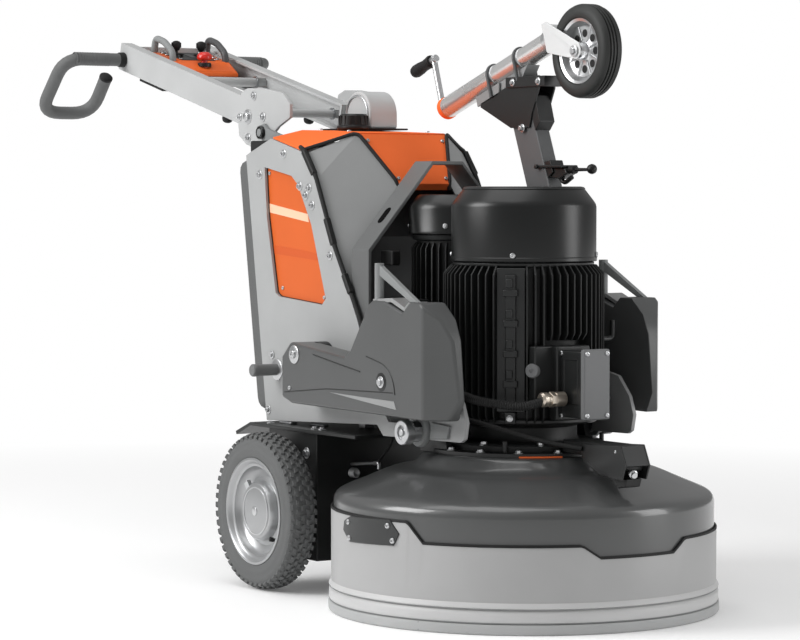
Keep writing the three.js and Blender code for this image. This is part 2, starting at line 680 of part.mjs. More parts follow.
// ---- grinding head -------------------------------------------------------------------------------
// Height of the skirt's top edge at an angle from straight ahead.
function skirtTop(angle) {
  const away = Math.abs(angle);
  const steps = [[13, SKIRT.low], [19, SKIRT.mid], [65, SKIRT.mid], [71, SKIRT.high]];
  if (away <= steps[0][0]) return steps[0][1];
  for (let i = 1; i < steps.length; i += 1) {
    const [from, low] = steps[i - 1];
    const [to, high] = steps[i];
    if (away <= to) return low + ((high - low) * (away - from)) / (to - from);
  }
  return SKIRT.high;
}

function makeSkirt() {
  const wall = ringWall(SKIRT.inner, SKIRT.outer, SKIRT.band - 4, skirtTop);
  const band = turned([
    [SKIRT.inner - 4, 0], [SKIRT.rim - 3, 0], [SKIRT.rim, 4], [SKIRT.rim, 24], [SKIRT.rim - 4, 27],
    [SKIRT.rim - 2, 44], [SKIRT.rim - 4, SKIRT.band], [SKIRT.inner - 4, SKIRT.band], [SKIRT.inner - 4, 0],
  ], 72);
  add('skirt', join(band, wall), lightGrey);
}

function makeHood() {
  const { outer, wall, hem, shoulder, crown, crownR, top, topR } = HOOD;
  add('hood', turned([
    [outer, hem], [outer, shoulder - 14], [outer - 9, shoulder], [crownR, crown], [topR + 27, crown + 3],
    [topR, top], [120, top], [120, top - wall], [topR - 3, top - wall], [topR + 24, crown - 2],
    [crownR - 1, crown - wall], [outer - 13, shoulder - wall], [outer - wall, shoulder - 18],
    [outer - wall, hem],
    [outer, hem],
  ], 48), darkGrey);
}

function makeHeadPlate() {
  const z = [HOOD.top + GAP, HOOD.top + 8];
  const disc = turned([[30, z[0]], [195, z[0]], [195, z[1]], [30, z[1]], [30, z[0]]], 48);
  const ring = turned([[16, z[0]], [100, z[0]], [100, z[1]], [16, z[1]], [16, z[0]]], 40);
  const rear = ring.translate(DRUM_MOTOR.x, 0, 0);
  const bridge = box([DRUM_MOTOR.x + 20, -60], [-90, 90], z);
  const ears = SIDES.map(([, side]) => sidePlate(
    [[-110, z[0]], [-6, z[0]], [-30, 396], [-86, 396]], span(side, 172, 186)));
  const stubs = SIDES.map(([, side]) => pinAcross(
    HEAD_PIVOT.x, HEAD_PIVOT.z, span(side, 180, HEAD_PIVOT.y), HEAD_PIVOT.r, 24));
  add('head_plate', join(disc, rear, bridge, ...ears, ...stubs), black);
}

// A finned casing: a cross-section with fins all round, turned into a solid of the given height.
function finnedCasing(core, tip, count, z) {
  const points = [];
  for (let i = 0; i < count; i += 1) {
    for (const [r, part] of [[core, -0.2], [tip, -0.13], [tip, 0.13], [core, 0.2]]) {
      const angle = (2 * Math.PI * (i + part)) / count;
      points.push([r * Math.cos(angle), r * Math.sin(angle)]);
    }
  }
  return planPrism(points, z);
}

function makeMainMotor() {
  const m = MAIN_MOTOR;
  const base = HOOD.top + 8 + GAP;
  const flange = rod([0, 0, base], [0, 0, base + 12], 165, 48);
  const neck = rod([0, 0, base], [0, 0, m.bottom + 2], 112, 40);
  const fins = finnedCasing(m.coreR, m.finR, 30, [m.bottom, m.finTop]);
  const spigot = rod([0, 0, m.finTop - 2], [0, 0, m.finTop + 3], 140, 40);
  const bore = rod([0, 0, m.bottom + 14], [0, 0, m.finTop + 20], m.bore, 40);
  const shaftHole = rod([0, 0, base - 5], [0, 0, m.bottom + 20], 26, 24);
  const boxSeat = box([149, 200], [-44, 44], [m.bottom - 1, 562]);
  add('main_motor_housing', cut(join(flange, neck, fins, spigot), bore, shaftHole, boxSeat), black);
  const lip = m.finTop + 3 + GAP;
  const r = m.cowlR;
  add('main_motor_cowl', turned([
    [r, lip], [r, m.top - 40], [124, m.top - 3], [118, m.top], [62, m.top], [62, m.top - 3],
    [117, m.top - 3],
    [121, m.top - 6], [r - 3, m.top - 41], [r - 3, lip], [r, lip],
  ], 36), black);
  makeRotor(m);
}

function makeRotor(m) {
  const shaft = rod([0, 0, 262], [0, 0, 790], 19, 20);
  const pinion = rod([0, 0, 262], [0, 0, 300], 42, 24);
  const core = rod([0, 0, m.bottom + 40], [0, 0, m.finTop - 30], m.bore - 1, 32);
  const disc = rod([0, 0, 740], [0, 0, 745], 120, 32);
  const blades = Array.from({ length: 8 }, (_, i) => (
    box([24, 130], [-2, 2], [744, 785]).rotateZ((2 * Math.PI * i) / 8)));
  add('main_motor_rotor', join(shaft, pinion, core, disc, ...blades), steel);
}

function makeDrumMotor() {
  const m = DRUM_MOTOR;
  const base = HOOD.top + 8 + GAP;
  const neck = rod([0, 0, base], [0, 0, m.bottom + 40], 80, 32);
  const fins = finnedCasing(m.coreR, m.finR, 20, [m.bottom + 38, m.finTop]);
  const bore = rod([0, 0, m.bottom + 60], [0, 0, m.finTop + 10], m.bore, 32);
  add('drum_motor_housing', cut(join(neck, fins), bore).translate(m.x, 0, 0), black);
  const lip = m.finTop + GAP;
  const r = m.cowlR;
  add('drum_motor_cowl', turned([
    [r, lip], [r, m.top - 26], [78, m.top], [40, m.top], [40, m.top - 3], [77, m.top - 3],
    [r - 3, m.top - 27],
    [r - 3, lip], [r, lip],
  ], 28).translate(m.x, 0, 0), black);
}

function makeHeadElectrics() {
  const z = [415, 548];
  const body = box([149.3, 243], [-32, 32], z);
  const gland = rod([196, -30, 450], [196, -74, 450], 14, 16);
  add('terminal_box', join(body, gland), black);
  const route = [
    [196, -76, 450], [196, -140, 436], [120, -196, 446], [20, -196, 462], [-60, -196, 470],
    [-104, -158, 440],
    [-104, -158, HOOD.top + 8.6],
  ];
  add('motor_conduit', bentTube(route, 9, 26, 8, 36), rubber);
  const foot = HOOD.top + 8.4;
  const edge = [
    [176, foot], [176, 366], [374, 366], [374, 318], [346, 301], [300, 301], [246, 326], [240, foot],
  ];
  add('front_junction_box', sidePlate(edge, [-28, 28]), black);
}

function makeGrindingTools() {
  const plate = turned([
    [0, DRUM.bottom], [DRUM.r, DRUM.bottom], [DRUM.r, DRUM.top], [DRUM.hubR, DRUM.top + 4],
    [DRUM.hubR, DRUM.hubTop], [0, DRUM.hubTop],
  ], 40);
  add('planet_drum', plate, steel);
  for (let i = 0; i < DISC.count; i += 1) {
    const angle = degrees(60 + (360 * i) / DISC.count);
    const disc = turned([
      [0, DISC.bottom], [DISC.r - 6, DISC.bottom], [DISC.r, DISC.bottom + 6], [DISC.r, DISC.top - 10],
      [60, DISC.top], [30, DISC.top], [30, DRUM.bottom - GAP], [0, DRUM.bottom - GAP],
    ], 28);
    disc.translate(DISC.orbit * Math.cos(angle), DISC.orbit * Math.sin(angle), 0);
    add(`grinding_disc_${i + 1}`, disc, steel);
  }
}

makeSidePlates();
makeTopCover();
makeFrontPanel();
makeCornerPanels();
makeCabinetLiner();
makeRearDoor();
makeRunningGear();
makeGuardLoop();
makeHoseSaddle();
makeRearWheels();
makeWeights();
makeHandleFrame();
makeHandleHinge();
makeHandleGrips();
makeRemote();
makeMast();
makeJockey();
makeSkirt();
makeHood();
makeHeadPlate();
makeMainMotor();
makeDrumMotor();
makeHeadElectrics();
makeGrindingTools();

export default machine;
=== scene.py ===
"""Looks of a walk-behind planetary floor grinder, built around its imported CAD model.

Shapes are written in millimetres from the grinding head's axis (+X forward, +Y left, +Z up)
and are placed in the row frame, in metres, by place().
"""
import json
from math import atan2, cos, pi, radians, sin

import bmesh
import bpy
from mathutils import Matrix, Vector


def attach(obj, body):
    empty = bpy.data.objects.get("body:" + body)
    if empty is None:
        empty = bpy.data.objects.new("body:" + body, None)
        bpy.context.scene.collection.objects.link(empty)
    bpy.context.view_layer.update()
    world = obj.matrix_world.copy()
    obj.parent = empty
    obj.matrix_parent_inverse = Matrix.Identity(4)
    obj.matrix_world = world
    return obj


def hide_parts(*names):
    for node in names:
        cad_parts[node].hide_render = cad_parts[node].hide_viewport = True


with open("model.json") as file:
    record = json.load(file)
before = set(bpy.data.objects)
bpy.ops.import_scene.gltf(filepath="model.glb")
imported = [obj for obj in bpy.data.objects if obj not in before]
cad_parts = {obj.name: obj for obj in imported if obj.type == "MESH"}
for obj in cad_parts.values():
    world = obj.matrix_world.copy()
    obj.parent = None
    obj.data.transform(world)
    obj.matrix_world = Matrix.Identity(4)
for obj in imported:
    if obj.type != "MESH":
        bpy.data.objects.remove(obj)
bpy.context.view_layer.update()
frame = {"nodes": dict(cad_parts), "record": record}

MM = 0.001
HEAD_X = 666.085  # from the row's origin to the grinding head's axis
SIDES = (("right", -1), ("left", 1))
BODY = {node: body for body, nodes in frame["record"]["behaviour"]["bodies"].items() for node in nodes}


def place(point):
    x, y, z = point
    return Vector(((x + HEAD_X) * MM, y * MM, z * MM))


# ---- shader nodes ----
def set_inputs(node, **inputs):
    """Input values by name, with _ for a space."""
    for name, value in inputs.items():
        node.inputs[name.replace("_", " ")].default_value = value


def add_node(tree, kind, **inputs):
    node = tree.nodes.new("ShaderNode" + kind)
    set_inputs(node, **inputs)
    return node


def link(source, output, target, entry):
    source.id_data.links.new(source.outputs[output], target.inputs[entry])


def add_ramp(tree, *stops):
    """A colour ramp with a stop for each position and colour."""
    ramp = add_node(tree, "ValToRGB")
    elements = ramp.color_ramp.elements
    for position, _ in stops[1:-1]:
        elements.new(position)
    for element, (position, color) in zip(elements, stops):
        element.position = position
        element.color = [*color, 1]
    return ramp


# ---- camera, light and floor ----
def make_camera():
    data = bpy.data.cameras.new("camera")
    data.lens = 133.65
    data.sensor_width = 36
    camera = bpy.data.objects.new("camera", data)
    camera.location = (5.716, -3.587, 0.872)
    camera.rotation_euler = (radians(87.5), 0, radians(57.0))
    bpy.context.collection.objects.link(camera)
    bpy.context.scene.camera = camera


def area_light(name, location, target, size, power):
    data = bpy.data.lights.new(name, "AREA")
    data.shape = "RECTANGLE"
    data.size, data.size_y = size
    data.energy = power
    light = bpy.data.objects.new(name, data)
    light.location = location
    light.rotation_euler = (Vector(target) - Vector(location)).to_track_quat("-Z", "Y").to_euler()
    bpy.context.collection.objects.link(light)


def make_studio():
    """Three soft lights and a grey sky that the camera itself sees as white."""
    area_light("key", (-1.6, -4.9, 3.4), (0.2, 0, 0.4), (3.2, 3.0), 255)
    area_light("fill", (3.7, 3.2, 1.5), (0.3, 0, 0.5), (1.6, 2.6), 62)
    area_light("top", (0.2, -1.0, 4.6), (0, 0, 0), (3.6, 3.0), 62)
    world = bpy.data.worlds.new("studio")
    bpy.context.scene.world = world
    world.use_nodes = True
    tree = world.node_tree
    where = add_node(tree, "TexCoord")
    height = add_node(tree, "SeparateXYZ")
    half = add_node(tree, "MapRange", From_Min=-1)
    sky = add_ramp(tree, (0.42, [0.2] * 3), (0.56, [0.24] * 3), (0.9, [0.5] * 3))
    ray = add_node(tree, "LightPath")
    seen = add_node(tree, "Mix")
    seen.data_type = "RGBA"
    seen.inputs[7].default_value = (1, 1, 1, 1)
    link(where, "Generated", height, "Vector")
    link(height, "Z", half, "Value")
    link(half, "Result", sky, "Fac")
    link(ray, "Is Camera Ray", seen, "Factor")
    link(sky, "Color", seen, 6)
    link(seen, 2, tree.nodes["Background"], "Color")
    bpy.context.scene.view_settings.view_transform = "Standard"


def make_floor():
    """A pale floor that fades into the white background."""
    bpy.ops.mesh.primitive_circle_add(vertices=96, radius=40, fill_type="NGON", location=(0, 0, -0.0005))
    floor = bpy.context.object
    floor.name = "floor"
    mat = bpy.data.materials.new("floor")
    mat.use_nodes = True
    tree = mat.node_tree
    shader = tree.nodes["Principled BSDF"]
    set_inputs(shader, Base_Color=(0.95, 0.95, 0.95, 1), Roughness=0.6, Emission_Color=(1, 1, 1, 1),
        Emission_Strength=0.09)
    glow = add_node(tree, "Emission")
    mix = add_node(tree, "MixShader")
    where = add_node(tree, "TexCoord")
    away = add_node(tree, "VectorMath")
    away.operation = "LENGTH"
    fade = add_node(tree, "MapRange", From_Min=1.2, From_Max=3.6)
    link(where, "Object", away, 0)
    link(away, "Value", fade, "Value")
    link(fade, "Result", mix, "Fac")
    link(shader, "BSDF", mix, 1)
    link(glow, "Emission", mix, 2)
    link(mix, "Shader", tree.nodes["Material Output"], "Surface")
    floor.data.materials.append(mat)


# ---- materials ----
def linear(hex_color):
    channels = [int(hex_color[i:i + 2], 16) / 255 for i in (0, 2, 4)]
    return [c / 12.92 if c <= 0.04045 else ((c + 0.055) / 1.055) ** 2.4 for c in channels]


def surface(name, hex_color, rough, grain=0.15, scale=900, specular=0.5, mottle=0.05, metal=0.0, coat=0.0,
        rough_range=0.07, stretch=(1, 1, 1)):
    """A Principled material with broad colour and gloss variation and a fine bump."""
    mat = bpy.data.materials.new(name)
    mat.use_nodes = True
    tree = mat.node_tree
    shader = tree.nodes["Principled BSDF"]
    set_inputs(shader, Metallic=metal, Coat_Weight=coat, Coat_Roughness=0.12, Specular_IOR_Level=specular)
    where = add_node(tree, "TexCoord")
    mapping = add_node(tree, "Mapping", Scale=stretch)
    broad = add_node(tree, "TexNoise", Scale=7, Detail=5)
    fine = add_node(tree, "TexNoise", Scale=scale, Detail=2)
    base = linear(hex_color)
    darker, lighter = [c * (1 - mottle) for c in base], [min(1, c * (1 + mottle)) for c in base]
    ramp = add_ramp(tree, (0.3, darker), (0.7, lighter))
    gloss = add_node(tree, "MapRange", To_Min=rough - rough_range, To_Max=rough + rough_range)
    bump = add_node(tree, "Bump", Strength=grain, Distance=0.0004)
    link(where, "Object", mapping, "Vector")
    link(mapping, "Vector", broad, "Vector")
    link(mapping, "Vector", fine, "Vector")
    link(broad, "Fac", ramp, "Fac")
    link(ramp, "Color", shader, "Base Color")
    link(broad, "Fac", gloss, "Value")
    link(gloss, "Result", shader, "Roughness")
    link(fine, "Fac", bump, "Height")
    link(bump, "Normal", shader, "Normal")
    return mat


# Name, colour, roughness, and then grain, its scale, specular and mottle.
light_paint = surface("light_grey_paint", "a2a3a3", 0.46, 0.25, 1400, 0.2)
panel_paint = surface("mid_grey_paint", "8c8d8d", 0.42, 0.25, 1400, 0.25)
# A lighter copy of the skirt grey: painted light on the skirt's bands, whose faces tilt slightly upwards.
band_painted_light = surface("band_painted_light", "c2c2c2", 0.42, 0.12, 1200, 0.3, 0.03)
handle_paint = surface("handle_paint", "b0b1b1", 0.46, 0.25, 1400, 0.2)
skirt_paint = surface("skirt_paint", "a8a8a8", 0.42, 0.12, 1200, 0.3, 0.03)
shade_paint = surface("shade_grey_paint", "858787", 0.45, 0.25, 1400, 0.25)
cover_grey = surface("moulded_grey", "5c5d5d", 0.5, 0.5, 1700, 0.3, 0.04)
hood_grey = surface("hood_grey", "494a4a", 0.32, 0.1, 900, mottle=0.03, coat=0.6)
dark_paint = surface("dark_grey_paint", "4b4c4d", 0.42, 0.25, 1300, 0.35)
black_satin = surface("black_satin", "1e1f1f", 0.36, 0.15, 1000, 0.4)
cast_black = surface("cast_black", "1a1b1b", 0.48, 0.7, 800, 0.35, 0.12)
black_plate = surface("black_plate", "161616", 0.42, 0.2, 900, 0.35)
black_gloss = surface("black_gloss", "141515", 0.3, 0.08, 700, 0.42)
plate_grey = surface("plate_grey", "303131", 0.36, 0.2, 900, 0.4)
# Near-black for painted shade in openings that are not cut.
slot_shade_black = surface("slot_shade_black", "080808", 0.8, 0.3, 900, 0.05)
saddle_paint = surface("saddle_paint", "bcbdbd", 0.36, 0.2, 1200, 0.4)
lid_grey = surface("lid_grey", "6c6d6e", 0.4, 0.4, 1500, 0.35)
black_rubber = surface("black_rubber", "1a1a1a", 0.62, 0.7, 1500, 0.3, 0.1)
grip_rubber = surface("grip_rubber", "636464", 0.55, 0.8, 1900, 0.3, 0.06)
pale_tyre = surface("pale_tyre", "626363", 0.72, 0.6, 900, 0.25)
jockey_rubber = surface("jockey_rubber", "2a2b2a", 0.52, 0.5, 1100, 0.35, 0.07)
zinc = surface("zinc_plate", "c9cacb", 0.3, 0.1, 500, metal=0.9)
satin_rim = surface("satin_rim", "a8a9aa", 0.34, 0.12, 600, mottle=0.04, metal=0.75)
tube_steel = surface("tube_steel", "e2e2e1", 0.27, 0.05, 500, mottle=0.02, metal=0.8, rough_range=0.04)
guard_paint = surface("guard_paint", "626363", 0.42, 0.25, 1300, 0.35)
peg_grey = surface("peg_grey", "6e6f6f", 0.5, 0.5, 1200, 0.3)
steel = surface("machined_steel", "a1a3a5", 0.3, 0.2, 700, metal=1.0, stretch=(1, 1, 6))
silver_bolt = surface("bolt_steel", "c4c5c6", 0.32, 0.15, 600, metal=0.9)
brass = surface("gland_brass", "c9beb0", 0.28, 0.1, 500, metal=0.9)
orange_paint = surface("orange_paint", "f67540", 0.45, 0.1, 1100, 0.0, 0.03)
orange_shell = surface("orange_plastic", "e2682f", 0.42, 0.3, 1500, 0.15, 0.03)
red_plastic = surface("red_plastic", "cf2418", 0.3, 0.05, 600, mottle=0.04, coat=0.2)
window_orange = surface("window_orange", "d0622d", 0.3, 0.03, 700, 0.15, 0.03)
# Pale orange for a painted reflection band across the glossy window panels.
painted_reflection_orange = surface("window_painted_reflection", "f3c3a4", 0.3, 0.03, 900, 0.15, 0.02)
# Darker orange for a painted shade band across the glossy window panels.
painted_shade_orange = surface("window_painted_shade", "c9592a", 0.3, 0.03, 900, 0.15, 0.02)
weight_grey = surface("weight_grey", "4f5050", 0.34, 0.3, 1200, 0.4)
# A lighter copy of the weight grey, for painted highlights on the weights' facets.
weight_highlight_grey = surface("weight_facet_highlight", "8f9090", 0.32, 0.25, 1200, 0.4, 0.03)
mast_grey = surface("mast_grey", "5c5d5e", 0.38, 0.25, 1300, 0.35, 0.04)
fork_zinc = surface("fork_zinc", "dcdddd", 0.45, 0.1, 500, mottle=0.04, metal=0.35)
pale_foot = surface("skirt_foot_rubber", "aeafaf", 0.55, 0.4, 1000, 0.25, 0.04)


# ---- shapes ----
def basis(u, v, w, origin):
    matrix = Matrix((u, v, w)).transposed().to_4x4()
    matrix.translation = Vector(origin)
    return matrix


def turned_frame(origin, axis):
    """A frame whose Z runs along axis, at origin."""
    z = Vector(axis).normalized()
    x = Vector((0, 0, 1)) if abs(z.z) < 0.9 else Vector((1, 0, 0))
    x = (x - z * x.dot(z)).normalized()
    return basis(x, z.cross(x), z, origin)


def spoke(origin, axis, angle):
    """A frame on a wheel or post: u runs outwards at the angle, v along the axis, w round the rim."""
    turned = turned_frame(origin, axis) @ Matrix.Rotation(radians(angle), 4, "Z")
    return turned @ basis((1, 0, 0), (0, 0, 1), (0, -1, 0), (0, 0, 0))


def disc(r, low, high):
    """The profile of a solid disc."""
    return [[0, low], [r, low], [r, high], [0, high]]


def ring(inner, outer, low, high):
    """The profile of a ring."""
    return [[inner, low], [outer, low], [outer, high], [inner, high]]


class Shape:
    """Closed parts of one material, in millimetres. Each shape is built as a piece at the end."""
    made = []

    def __init__(self, name, mat, body="chassis", bevel=0.0, replaces=(), smooth=38, segments=2):
        self.name = name
        self.points = []
        self.faces = []
        self.finish = mat, body, bevel, replaces, smooth, segments
        Shape.made.append(self)

    def add(self, points, faces, matrix=None):
        base = len(self.points)
        self.points += [matrix @ Vector(p) if matrix else Vector(p) for p in points]
        self.faces += [[base + i for i in face] for face in faces]
        return self

    def lathe(self, profile, origin=(0, 0, 0), axis=(0, 0, 1), segments=48):
        """Turns an [r, height] profile about the axis. It starts and ends there, or closes as a ring."""
        points, first = [], []
        for r, h in profile:
            first.append(len(points))
            for i in range(segments if r else 1):
                a = 2 * pi * i / segments
                points.append((r * cos(a), r * sin(a), h))

        def corners(k, i):
            return [first[k] + i, first[k] + (i + 1) % segments] if profile[k][0] else [first[k]]

        faces = []
        for k in range(len(profile) if profile[0][0] else len(profile) - 1):
            for i in range(segments):
                face = corners(k, i) + corners((k + 1) % len(profile), i)[::-1]
                if len(face) > 2:
                    faces.append(face)
        return self.add(points, faces, turned_frame(origin, axis))

    def loft(self, rows, matrix=None, whole=False):
        """Joins equal rows of points, with a cap at each end or right round."""
        n, count = len(rows[0]), len(rows)
        faces = [] if whole else [range(n), range((count - 1) * n, count * n)]
        for k in range(count if whole else count - 1):
            m = (k + 1) % count
            for i in range(n):
                j = (i + 1) % n
                faces.append((k * n + i, m * n + i, m * n + j, k * n + j))
        return self.add([p for row in rows for p in row], faces, matrix)

    def prism(self, outline, low, high, matrix):
        return self.loft([[(u, v, w) for u, v in outline] for w in (low, high)], matrix)

    def plate(self, outline, near, far):
        """An outline in the X-Z plane, between two Y positions."""
        return self.loft([[(x, y, z) for x, z in outline] for y in (near, far)])

    def box(self, low, high, matrix=None):
        (a, b, c), (d, e, f) = low, high
        return self.loft([[(a, b, z), (d, b, z), (d, e, z), (a, e, z)] for z in (c, f)], matrix)

    def tube(self, points, r, bend=0.0, sides=20):
        """A round tube along a path with rounded corners."""
        path = rounded(points, bend)
        along = [(b - a).normalized() for a, b in zip(path[:1] + path, path[1:] + path[-1:])]
        side = along[0].orthogonal().normalized()
        rows = []
        for here, direction in zip(path, along):
            side = (side - direction * side.dot(direction)).normalized()
            other = direction.cross(side)
            angles = [2 * pi * i / sides for i in range(sides)]
            rows.append([here + side * (r * cos(a)) + other * (r * sin(a)) for a in angles])
        return self.loft(rows)

    def sweep(self, section_at, start=0, end=360, count=360):
        """Joins sections given as [r, z] lists at angles round the head's axis."""
        whole = end - start == 360
        rows = []
        for k in range(count if whole else count + 1):
            angle = start + (end - start) * k / count
            a = radians(angle)
            rows.append([(r * cos(a), r * sin(a), z) for r, z in section_at(angle)])
        return self.loft(rows, whole=whole)

    def bolt(self, at, axis, r=6.0, height=5.0, sides=6):
        """A washer with a hexagon or socket head on it."""
        self.lathe([[0, 0], [r * 1.55, 0], [r * 1.55, 1.3], [r * 1.4, 1.7], [0, 1.7]], at, axis, 24)
        top = 1.7 + height
        if sides == 6:
            return self.lathe([[0, 1.6], [r, 1.6], [r, top - 1], [r * 0.86, top], [0, top]], at, axis, 6)
        outer, rim, socket = r * 0.9, r * 0.8, r * 0.5
        return self.lathe([[0, 1.6], [outer, 1.6], [outer, top - 0.8], [rim, top], [socket, top],
            [socket, top - 2.4], [0, top - 2.4]], at, axis, 20)

    def screw(self, at, axis, r=4.0):
        """A low domed head with a socket."""
        socket = r * 0.42
        return self.lathe([[0, 0], [r, 0], [r, r * 0.25], [r * 0.8, r * 0.55], [socket, r * 0.62],
            [socket, r * 0.2], [0, r * 0.2]], at, axis, 18)

    def build(self):
        mesh = bpy.data.meshes.new(self.name)
        mesh.from_pydata([place(p) for p in self.points], [], self.faces)
        finish_piece(self.name, mesh, *self.finish)


def rounded(points, bend, steps=7):
    """The path with its corners turned into curves."""
    p = [Vector(q) for q in points]
    if not bend:
        return p
    path = [p[0]]
    for before, corner, after in zip(p, p[1:], p[2:]):
        a = corner + (before - corner).normalized() * bend
        b = corner + (after - corner).normalized() * bend
        for k in range(steps + 1):
            t = k / steps
            path.append(a * (1 - t) ** 2 + corner * (2 * t * (1 - t)) + b * t ** 2)
    path.append(p[-1])
    return path


def finish_piece(name, mesh, mat, body, bevel, replaces, smooth=38, segments=2):
    cleaned = bmesh.new()
    cleaned.from_mesh(mesh)
    bmesh.ops.recalc_face_normals(cleaned, faces=cleaned.faces)
    cleaned.to_mesh(mesh)
    cleaned.free()
    mesh.polygons.foreach_set("use_smooth", [True] * len(mesh.polygons))
    mesh.set_sharp_from_angle(angle=radians(smooth))
    mesh.materials.append(mat)
    piece = bpy.data.objects.new(name, mesh)
    bpy.context.collection.objects.link(piece)
    if bevel:
        edge = piece.modifiers.new("edge", "BEVEL")
        edge.width = bevel * MM
        edge.segments = segments
        edge.limit_method = "ANGLE"
        edge.angle_limit = radians(smooth)
        edge.harden_normals = True
        edge.use_clamp_overlap = True
    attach(piece, body)
    if replaces:
        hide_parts(*replaces)


def skin(node, mat, bevel=1.0, segments=2):
    """A refined copy of a CAD node: flat faces made whole, edges rounded, curves shaded smooth."""
    shape = bmesh.new()
    shape.from_mesh(frame["nodes"][node].data)
    bmesh.ops.remove_doubles(shape, verts=shape.verts, dist=1e-5)
    bmesh.ops.dissolve_limit(shape, angle_limit=radians(0.6), verts=shape.verts, edges=shape.edges)
    mesh = bpy.data.meshes.new(node + "_skin")
    shape.to_mesh(mesh)
    shape.free()
    finish_piece(node + "_skin", mesh, mat, BODY[node], bevel, [node], segments=segments)


def repaint(node, mat):
    """The CAD node stays, with a finished material."""
    slots = frame["nodes"][node].data.materials
    slots.clear()
    slots.append(mat)


def arc(cx, cz, r, start, end, steps):
    """Points on an arc, angles in degrees."""
    angles = [radians(start + (end - start) * k / steps) for k in range(steps + 1)]
    return [[cx + r * cos(a), cz + r * sin(a)] for a in angles]


def outline(where, *points):
    return [where(*point) for point in points]


def round_post(angle, r, z, origin=(0, 0, 0)):
    """A point and an outward direction on an upright cylinder."""
    out = cos(radians(angle)), sin(radians(angle)), 0
    return (origin[0] + r * out[0], origin[1] + r * out[1], z), out


# ---- cabinet ----
WINDOW = [(-698, 924), (-581, 904), (-553, 884), (-529, 847), (-497, 797), (-437, 637), (-453, 623),
    (-635, 636), (-650, 644), (-688, 813)]
PLATE_FRONT = [(-540, 962), (-528, 957), (-485, 900), (-412, 756), (-329, 632), (-305, 596), (-288, 558)]
PLATE_BOLTS = [(-613, 953), (-718, 907), (-545, 881), (-506, 877), (-519, 861), (-493, 839), (-419, 731),
    (-682, 381)]
WINDOW_SCREWS = [(-688, 910), (-631, 655), (-455, 639), (-562, 880)]
LATCH_PADS = [((-535, 966), (-482, 902)), ((-440, 820), (-403, 748)), ((-368, 700), (-332, 646))]


def make_cabinet():
    for name, side in SIDES:
        skin(f"side_plate_{name}", light_paint, 1.5)
        skin(f"window_panel_{name}", window_orange, 0.5)
        skin(f"corner_panel_{name}", panel_paint, 1.0)
        make_corner_seal(name, side)
        make_plate_details(name, side)
    skin("top_cover", orange_paint, 1.6)
    skin("front_panel", orange_paint, 1.2)
    repaint("cabinet_liner", dark_paint)
    repaint("inverter", steel)
    screws = Shape("cabinet_screws", silver_bolt)
    for x, y, z in ((-652, 96, 1005), (-520, 104, 999), (-652, -96, 1005), (-520, -104, 999)):
        screws.screw((x, y, z + 3), (0.05, 0, 1), 5)
    for y, x, z in ((98, -452, 981), (-98, -452, 981), (62, -384, 898), (-62, -384, 898)):
        screws.screw((x, y, z), (0.78, 0, 0.62), 4.5)
    make_hose_saddle()


def make_corner_seal(name, side):
    """The seal round the corner panel, beside the orange panel."""
    seal = [(-534, side * 209, 962), (-500, side * 163, 980), (-465, side * 117, 999),
        (-376, side * 68, 888), (-379, side * 67, 874)]
    Shape(f"corner_seal_{name}", black_rubber).tube(seal, 4.2, 16, 12)


def make_plate_details(name, side):
    face = side * 216
    Shape(f"edge_gasket_{name}", black_rubber).tube(
        [(x + 3, side * 212, z) for x, z in PLATE_FRONT], 5, 26, 12)
    bead = [(x, side * 208.6, z) for x, z in WINDOW]
    Shape(f"window_bead_{name}", black_rubber).tube(bead + bead[:1], 1.5, 8, 8)
    skin_y = side * 207.6, side * 208.3
    # A pale diagonal strip on each window panel: a painted reflection of a light.
    Shape(f"window_painted_reflection_{name}", painted_reflection_orange).plate(
        [(-693, 843), (-525, 820), (-520, 802), (-691, 823)], *skin_y)
    # A darker strip on each window panel: painted shade.
    Shape(f"window_painted_shade_{name}", painted_shade_orange).plate(
        [(-681, 751), (-489, 735), (-484, 719), (-673, 731)], *skin_y)
    bolts = Shape(f"plate_bolts_{name}", silver_bolt, "chassis", 0.4)
    for x, z in PLATE_BOLTS:
        bolts.bolt((x, face, z), (0, side, 0), 6.5, 5, 12)
    for x, z in WINDOW_SCREWS:
        bolts.screw((x, side * 208, z), (0, side, 0), 4.5)
    pads = Shape(f"latch_pads_{name}", black_plate, "chassis", 3, segments=3)
    for (ax, az), (bx, bz) in LATCH_PADS:
        along = Vector((bx - ax, 0, bz - az)).normalized()
        out = Vector((-along.z, 0, along.x))
        start, end = Vector((ax, 0, az)) + along * 8, Vector((bx, 0, bz)) - along * 8
        corners = [start - out * 9, end - out * 9, end + out * 4, start + out * 4]
        pads.plate([(c.x, c.z) for c in corners], side * 206, side * 219)


def make_hose_saddle():
    skin("hose_saddle", saddle_paint, 5, segments=3)
    rim = Shape("saddle_rims", zinc)
    for y in (30, 105.5):
        arch = [(-746, y, 1022), (-746, y, 1042)]
        arch += [(-700 - 46 * cos(radians(a)), y, 1042 + 46 * sin(radians(a))) for a in range(15, 180, 15)]
        arch += [(-654, y, 1042), (-654, y, 1022)]
        rim.tube(arch, 2.4, 4, 10)
    axis = (-645, -14, 0)
    cap = Shape("filler_cap", black_plate, "chassis", 0.8).lathe(
        [[0, 1008.5], [36, 1008.5], [38, 1011], [38, 1016], [34, 1019], [32, 1040], [28, 1044],
        [0, 1045]], axis)
    for k in range(16):
        cap.box((31, 1019, -2), (34.5, 1040, 2), spoke(axis, (0, 0, 1), 22.5 * k))
    Shape("saddle_mat", black_rubber, "chassis", 1.5).box((-752, -30, 1008.6), (-618, 116, 1012.4))


DOOR_LEAN = atan2(90, 594)  # its run over its height


def door_matrix():
    """u across the machine, v up the door, w out of its rear face."""
    up = Vector((-sin(DOOR_LEAN), 0, cos(DOOR_LEAN)))
    out = Vector((-cos(DOOR_LEAN), 0, -sin(DOOR_LEAN)))
    return basis(up.cross(out), up, out, (-744, 0, 664))


